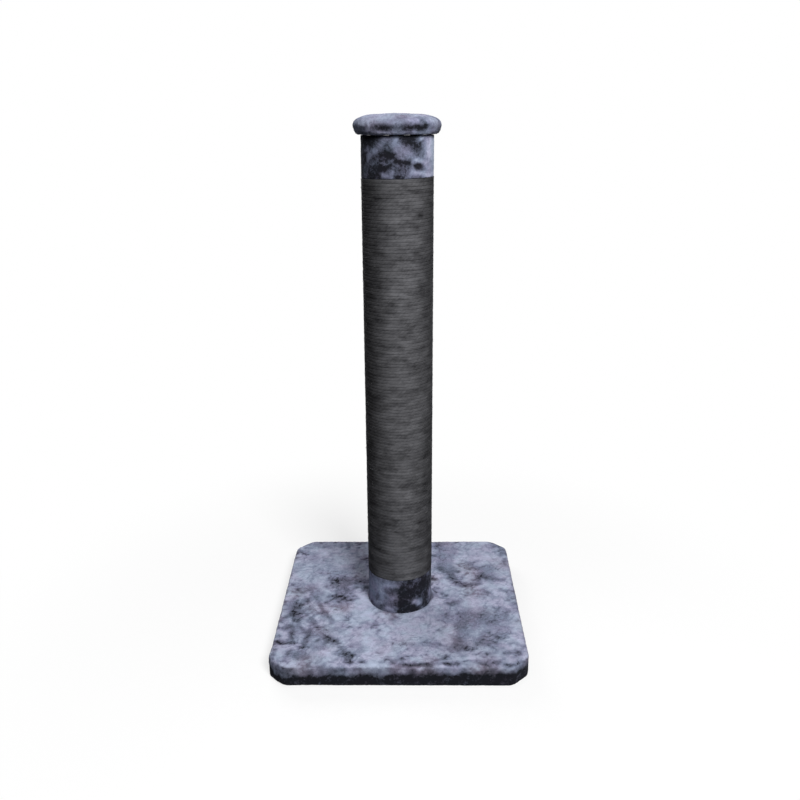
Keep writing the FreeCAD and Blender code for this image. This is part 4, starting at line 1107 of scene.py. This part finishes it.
def chip_material():
    """Particle board: pressed flakes of pale and brown wood."""
    nodes = Material("Particle Board")
    place = nodes.object_place()
    flakes = nodes.cells(nodes.stretched(place, (1.0, 0.5, 1.6)), 330.0)["Color"]
    tint = nodes.add("ShaderNodeSeparateColor", Color=flakes).outputs[0]
    colour = nodes.mix(tint, (0.30, 0.17, 0.075), (0.62, 0.44, 0.25))
    grain = nodes.span(nodes.grain(place, 500.0), 0.3, 0.7, 0, 0.5)
    return nodes.finish(nodes.mix(grain, colour, (0.2, 0.11, 0.05)),
                        nodes.span(tint, 0, 1, 0.7, 0.85), nodes.bump(tint, 0.3 * MM, 0.5))


def ply_material():
    """Plywood: long grain on the faces and dark glue lines between the plies."""
    nodes = Material("Plywood")
    place = nodes.object_place()
    grain = nodes.grain(nodes.stretched(place, (1.0, 0.08, 1.0)), 420.0)
    plies = nodes.add("ShaderNodeTexWave", {"bands_direction": "Z"}, Vector=place, Scale=62.0,
                      Distortion=0.4, Detail=1.0).outputs["Fac"]
    colour = nodes.mix(grain, (0.32, 0.19, 0.09), (0.68, 0.50, 0.30))
    colour = nodes.mix(nodes.span(plies, 0.0, 0.12, 0.6, 0.0), colour, (0.13, 0.07, 0.035))
    return nodes.finish(colour, nodes.span(grain, 0.3, 0.7, 0.75, 0.55),
                        nodes.bump(grain, 0.3 * MM, 0.5))


CARD_PITCH = 0.11  # metres that the card's seam climbs in one turn


def card_material():
    """Spiral-wound card tube, with its slanted seams."""
    nodes = Material("Wound Card")
    place = nodes.object_place()
    parts = nodes.add("ShaderNodeSeparateXYZ", Vector=place).outputs
    turn = nodes.math("ARCTAN2", parts[1], parts[0])
    slant = nodes.math("MULTIPLY_ADD", turn, CARD_PITCH / math.tau, parts[2])
    seam = nodes.math("FRACT", nodes.math("DIVIDE", slant, CARD_PITCH))
    line = nodes.span(nodes.math("ABSOLUTE", nodes.math("SUBTRACT", seam, 0.5)), 0.004, 0.012)
    grain = nodes.grain(nodes.stretched(place, (1, 1, 0.3)), 380.0)
    colour = nodes.mix(grain, (0.24, 0.15, 0.085), (0.42, 0.30, 0.18))
    return nodes.finish(nodes.mix(line, (0.12, 0.07, 0.04), colour),
                        nodes.span(grain, 0.3, 0.7, 0.85, 0.7), nodes.bump(grain, 0.2 * MM, 0.5))


def steel_material(name, colour, scale):
    """Plated steel, dulled in patches and finely scratched."""
    nodes = Material(name)
    place = nodes.object_place()
    patches = nodes.noise(place, scale, 3.0, 0.6)
    scratches = nodes.noise(nodes.stretched(place, (1, 14, 1), (0.4, 0.2, 0.6)), 900.0)
    dulled = nodes.mix(nodes.span(patches, 0.3, 0.7), colour, [part * 0.72 for part in colour])
    rough = nodes.span(patches, 0.3, 0.7, 0.12, 0.30)
    return nodes.finish(dulled, nodes.math("MULTIPLY_ADD", scratches, 0.25, rough),
                        nodes.bump(scratches, 0.05 * MM, 0.4), Metallic=1.0)


NODE_MATERIALS = (
    (chip_material, ("base_board",)),
    (ply_material, ("lower_plug", "upper_plug", "cap_board")),
    (card_material, ("post_tube",)),
    (lambda: steel_material("Zinc Steel", (0.60, 0.61, 0.63), 160.0),
     ("base_bolt", "base_washer", "lower_insert_nut", "upper_insert_nut", "cap_insert_nut",
      "cap_stud", "lower_plug_screws", "upper_plug_screws")),
    (lambda: steel_material("Staple Wire", (0.52, 0.52, 0.54), 400.0),
     ("cover_staples", "backing_staples", "cap_staples")),
)


# ---- operators ----

class BuildOperator(bpy.types.Operator):
    """Shared by the operators that build the post."""
    bl_options = {"REGISTER", "UNDO"}

    def execute(self, context):
        self.build(context.scene)
        return {"FINISHED"}


class POST_OT_base_cover(BuildOperator):
    """Cover the base board in crushed plush"""
    bl_idname = "post.base_cover"
    bl_label = "Base Cover"

    def build(self, scene):
        dress_base_cover(scene.post_plush)


class POST_OT_backing(BuildOperator):
    """Lay the backing cloth under the base"""
    bl_idname = "post.backing"
    bl_label = "Backing Cloth"

    def build(self, scene):
        dress_backing_cloth()


class POST_OT_rope(BuildOperator):
    """Wind the sisal rope up the post, with its loose fibres"""
    bl_idname = "post.rope"
    bl_label = "Rope"

    def build(self, scene):
        rope = scene.post_rope
        winding = Winding(rope)
        material = rope_material(rope)
        ends = [winding.turns * k // rope.lengths for k in range(rope.lengths + 1)]
        lengths = [wind_rope(rope, winding, k + 1, ends[k], ends[k + 1] - ends[k], material)
                   for k in range(rope.lengths)]
        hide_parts("rope_lower_turns")
        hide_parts("rope_field")
        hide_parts("rope_upper_turns")
        finished(loose_fibres(winding), "rope_loose_fibres", fibre_material(rope),
                 smooth=False)


class POST_OT_sleeves(BuildOperator):
    """Put the plush sleeves at the foot and the neck of the post"""
    bl_idname = "post.sleeves"
    bl_label = "Sleeves"

    def build(self, scene):
        plush = scene.post_plush
        pitch = Winding(scene.post_rope).pitch
        reach = 14 * MM

        def foot_shift(turned, height):
            near_rope = smooth_step((height - (FOOT_TOP.z - reach)) / reach)
            return near_rope * pitch * turned

        def neck_shift(turned, height):
            near_rope = smooth_step((NECK_LOW.z + reach - height) / reach)
            return -near_rope * pitch * (1 - turned)

        dress_sleeve(plush, "foot_plush_sleeve", "lower_sleeve", FOOT_LOW, FOOT_TOP,
                     FOOT_STROKES, 0.18, 80, foot_shift)
        dress_sleeve(plush, "neck_plush_sleeve", "upper_sleeve", NECK_LOW, NECK_TOP,
                     NECK_STROKES, 0.03, 90, neck_shift)


class POST_OT_cap(BuildOperator):
    """Upholster the round cap: foam crown and plush cover"""
    bl_idname = "post.cap"
    bl_label = "Cap"

    def build(self, scene):
        dress_cap_foam()
        dress_cap_cover(scene.post_plush)


class POST_OT_inner_parts(BuildOperator):
    """Finish the board, the tube, the plugs and the steel"""
    bl_idname = "post.inner_parts"
    bl_label = "Inner Parts"

    def build(self, scene):
        for make, names in NODE_MATERIALS:
            material = make()
            for name in names:
                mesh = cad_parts[name].data
                mesh.materials.clear()
                mesh.materials.append(material)


FLOOR_SHARE = 0.32  # how much of the floor's own shading the camera sees near the object
FLOOR_NEAR, FLOOR_FAR = 0.30, 0.95  # metres over which that fades to plain white
UNSEEN_FLOOR = (0.12, 0.12, 0.12)  # its colour for the light that it throws back on the post


def floor_material():
    """A pale floor that the camera sees white, with the object's soft shadow on it."""
    nodes = Material("Pale Floor")
    place = nodes.object_place()
    grain = nodes.noise(place, 60.0, 3.0)
    pale = nodes.mix(grain, (0.90, 0.90, 0.90), (0.94, 0.94, 0.94))
    seen = nodes.seen()
    nodes.finish(nodes.mix(seen, UNSEEN_FLOOR, pale), nodes.span(grain, 0, 1, 0.90, 0.95),
                 Specular_IOR_Level=0.1)
    distance = nodes.add("ShaderNodeVectorMath", {"operation": "LENGTH"})
    nodes.feed(distance.inputs[0], place)
    whiteness = nodes.span(distance.outputs["Value"], FLOOR_NEAR, FLOOR_FAR, 1 - FLOOR_SHARE, 1.0,
                           kind="SMOOTHSTEP")
    white = nodes.add("ShaderNodeEmission", Color=(1, 1, 1), Strength=1.0)
    both = nodes.numbered("ShaderNodeMixShader", {}, {
        0: nodes.math("MULTIPLY", seen, whiteness), 1: nodes.shader.outputs[0],
        2: white.outputs[0]})
    nodes.feed(nodes.tree.nodes["Material Output"].inputs["Surface"], both.outputs[0])
    return nodes.material


# name, place, target, side of the square and watts
LIGHTS = (("overhead", (0.05, 0.0, 3.1), (0, 0, 0.3), 1.5, 16),
          ("front", (0.94, -2.34, 2.45), (0, 0, 0.5), 1.0, 122),
          ("behind", (-1.9, 3.2, 1.9), (0, 0, 0.5), 2.4, 85))
WORLD_UNSEEN = 0.02  # strength of the white world for the rays that the camera doesn't see


def add_light(name, place, target, size, watts):
    data = bpy.data.lights.new(name, "AREA")
    data.shape, data.size, data.energy = "SQUARE", size, watts
    light = bpy.data.objects.new(name, data)
    light.location = place
    light.rotation_euler = (Vector(target) - Vector(place)).to_track_quat("-Z", "Y").to_euler()
    bpy.context.scene.collection.objects.link(light)


def add_camera(scene, stage):
    data = bpy.data.cameras.new("camera")
    data.sensor_width, data.lens = 36.0, stage.lens
    camera = bpy.data.objects.new("camera", data)
    ahead = Vector((math.sin(stage.turn) * math.cos(stage.tilt),
                    math.cos(stage.turn) * math.cos(stage.tilt), -math.sin(stage.tilt)))
    right = Vector((math.cos(stage.turn), -math.sin(stage.turn), 0))
    up = right.cross(ahead)
    rolled_right = math.cos(stage.roll) * right + math.sin(stage.roll) * up
    rolled_up = math.cos(stage.roll) * up - math.sin(stage.roll) * right
    axes = Matrix((rolled_right, rolled_up, -ahead)).transposed().to_4x4()
    camera.matrix_world = Matrix.Translation(stage.eye) @ axes
    scene.collection.objects.link(camera)
    scene.camera = camera


class POST_OT_stage(BuildOperator):
    """Set up the floor, the light and the camera"""
    bl_idname = "post.stage"
    bl_label = "Stage"

    def build(self, scene):
        bm = bmesh.new()
        bmesh.ops.create_grid(bm, x_segments=1, y_segments=1, size=30.0)
        mesh = bpy.data.meshes.new("floor")
        bm.to_mesh(mesh)
        bm.free()
        mesh.materials.append(floor_material())
        floor = bpy.data.objects.new("floor", mesh)
        scene.collection.objects.link(floor)

        world = bpy.data.worlds.new("Studio")
        world.use_nodes = True
        scene.world = world
        nodes = Nodes(world.node_tree)
        background = world.node_tree.nodes["Background"]
        nodes.feed(background.inputs["Color"], (1, 1, 1))
        nodes.feed(background.inputs["Strength"],
                   nodes.span(nodes.seen(), 0, 1, WORLD_UNSEEN, 1.0))
        for light in LIGHTS:
            add_light(*light)
        add_camera(scene, scene.post_stage)
        scene.view_settings.view_transform = "Standard"


class POST_PT_panel(bpy.types.Panel):
    """The post's operators and settings in the sidebar"""
    bl_label = "Scratching Post"
    bl_space_type = "VIEW_3D"
    bl_region_type = "UI"
    bl_category = "Post"

    def draw(self, context):
        for operator in OPERATORS:
            self.layout.operator(operator.bl_idname)
        for settings in (context.scene.post_plush, context.scene.post_rope,
                         context.scene.post_stage):
            box = self.layout.box()
            for name in settings.__annotations__:
                box.prop(settings, name)


OPERATORS = (POST_OT_stage, POST_OT_base_cover, POST_OT_backing, POST_OT_rope, POST_OT_sleeves,
             POST_OT_cap, POST_OT_inner_parts)
SETTINGS = (("post_plush", PlushSettings), ("post_rope", RopeSettings),
            ("post_stage", StageSettings))


def register():
    for name, settings in SETTINGS:
        bpy.utils.register_class(settings)
        setattr(bpy.types.Scene, name, PointerProperty(type=settings))
    for item in (*OPERATORS, POST_PT_panel):
        bpy.utils.register_class(item)


def unregister():
    for item in (POST_PT_panel, *reversed(OPERATORS)):
        bpy.utils.unregister_class(item)
    for name, settings in reversed(SETTINGS):
        delattr(bpy.types.Scene, name)
        bpy.utils.unregister_class(settings)


def main():
    register()
    for operator in OPERATORS:
        group, name = operator.bl_idname.split(".")
        getattr(getattr(bpy.ops, group), name)()


if __name__ == "__main__":
    main()
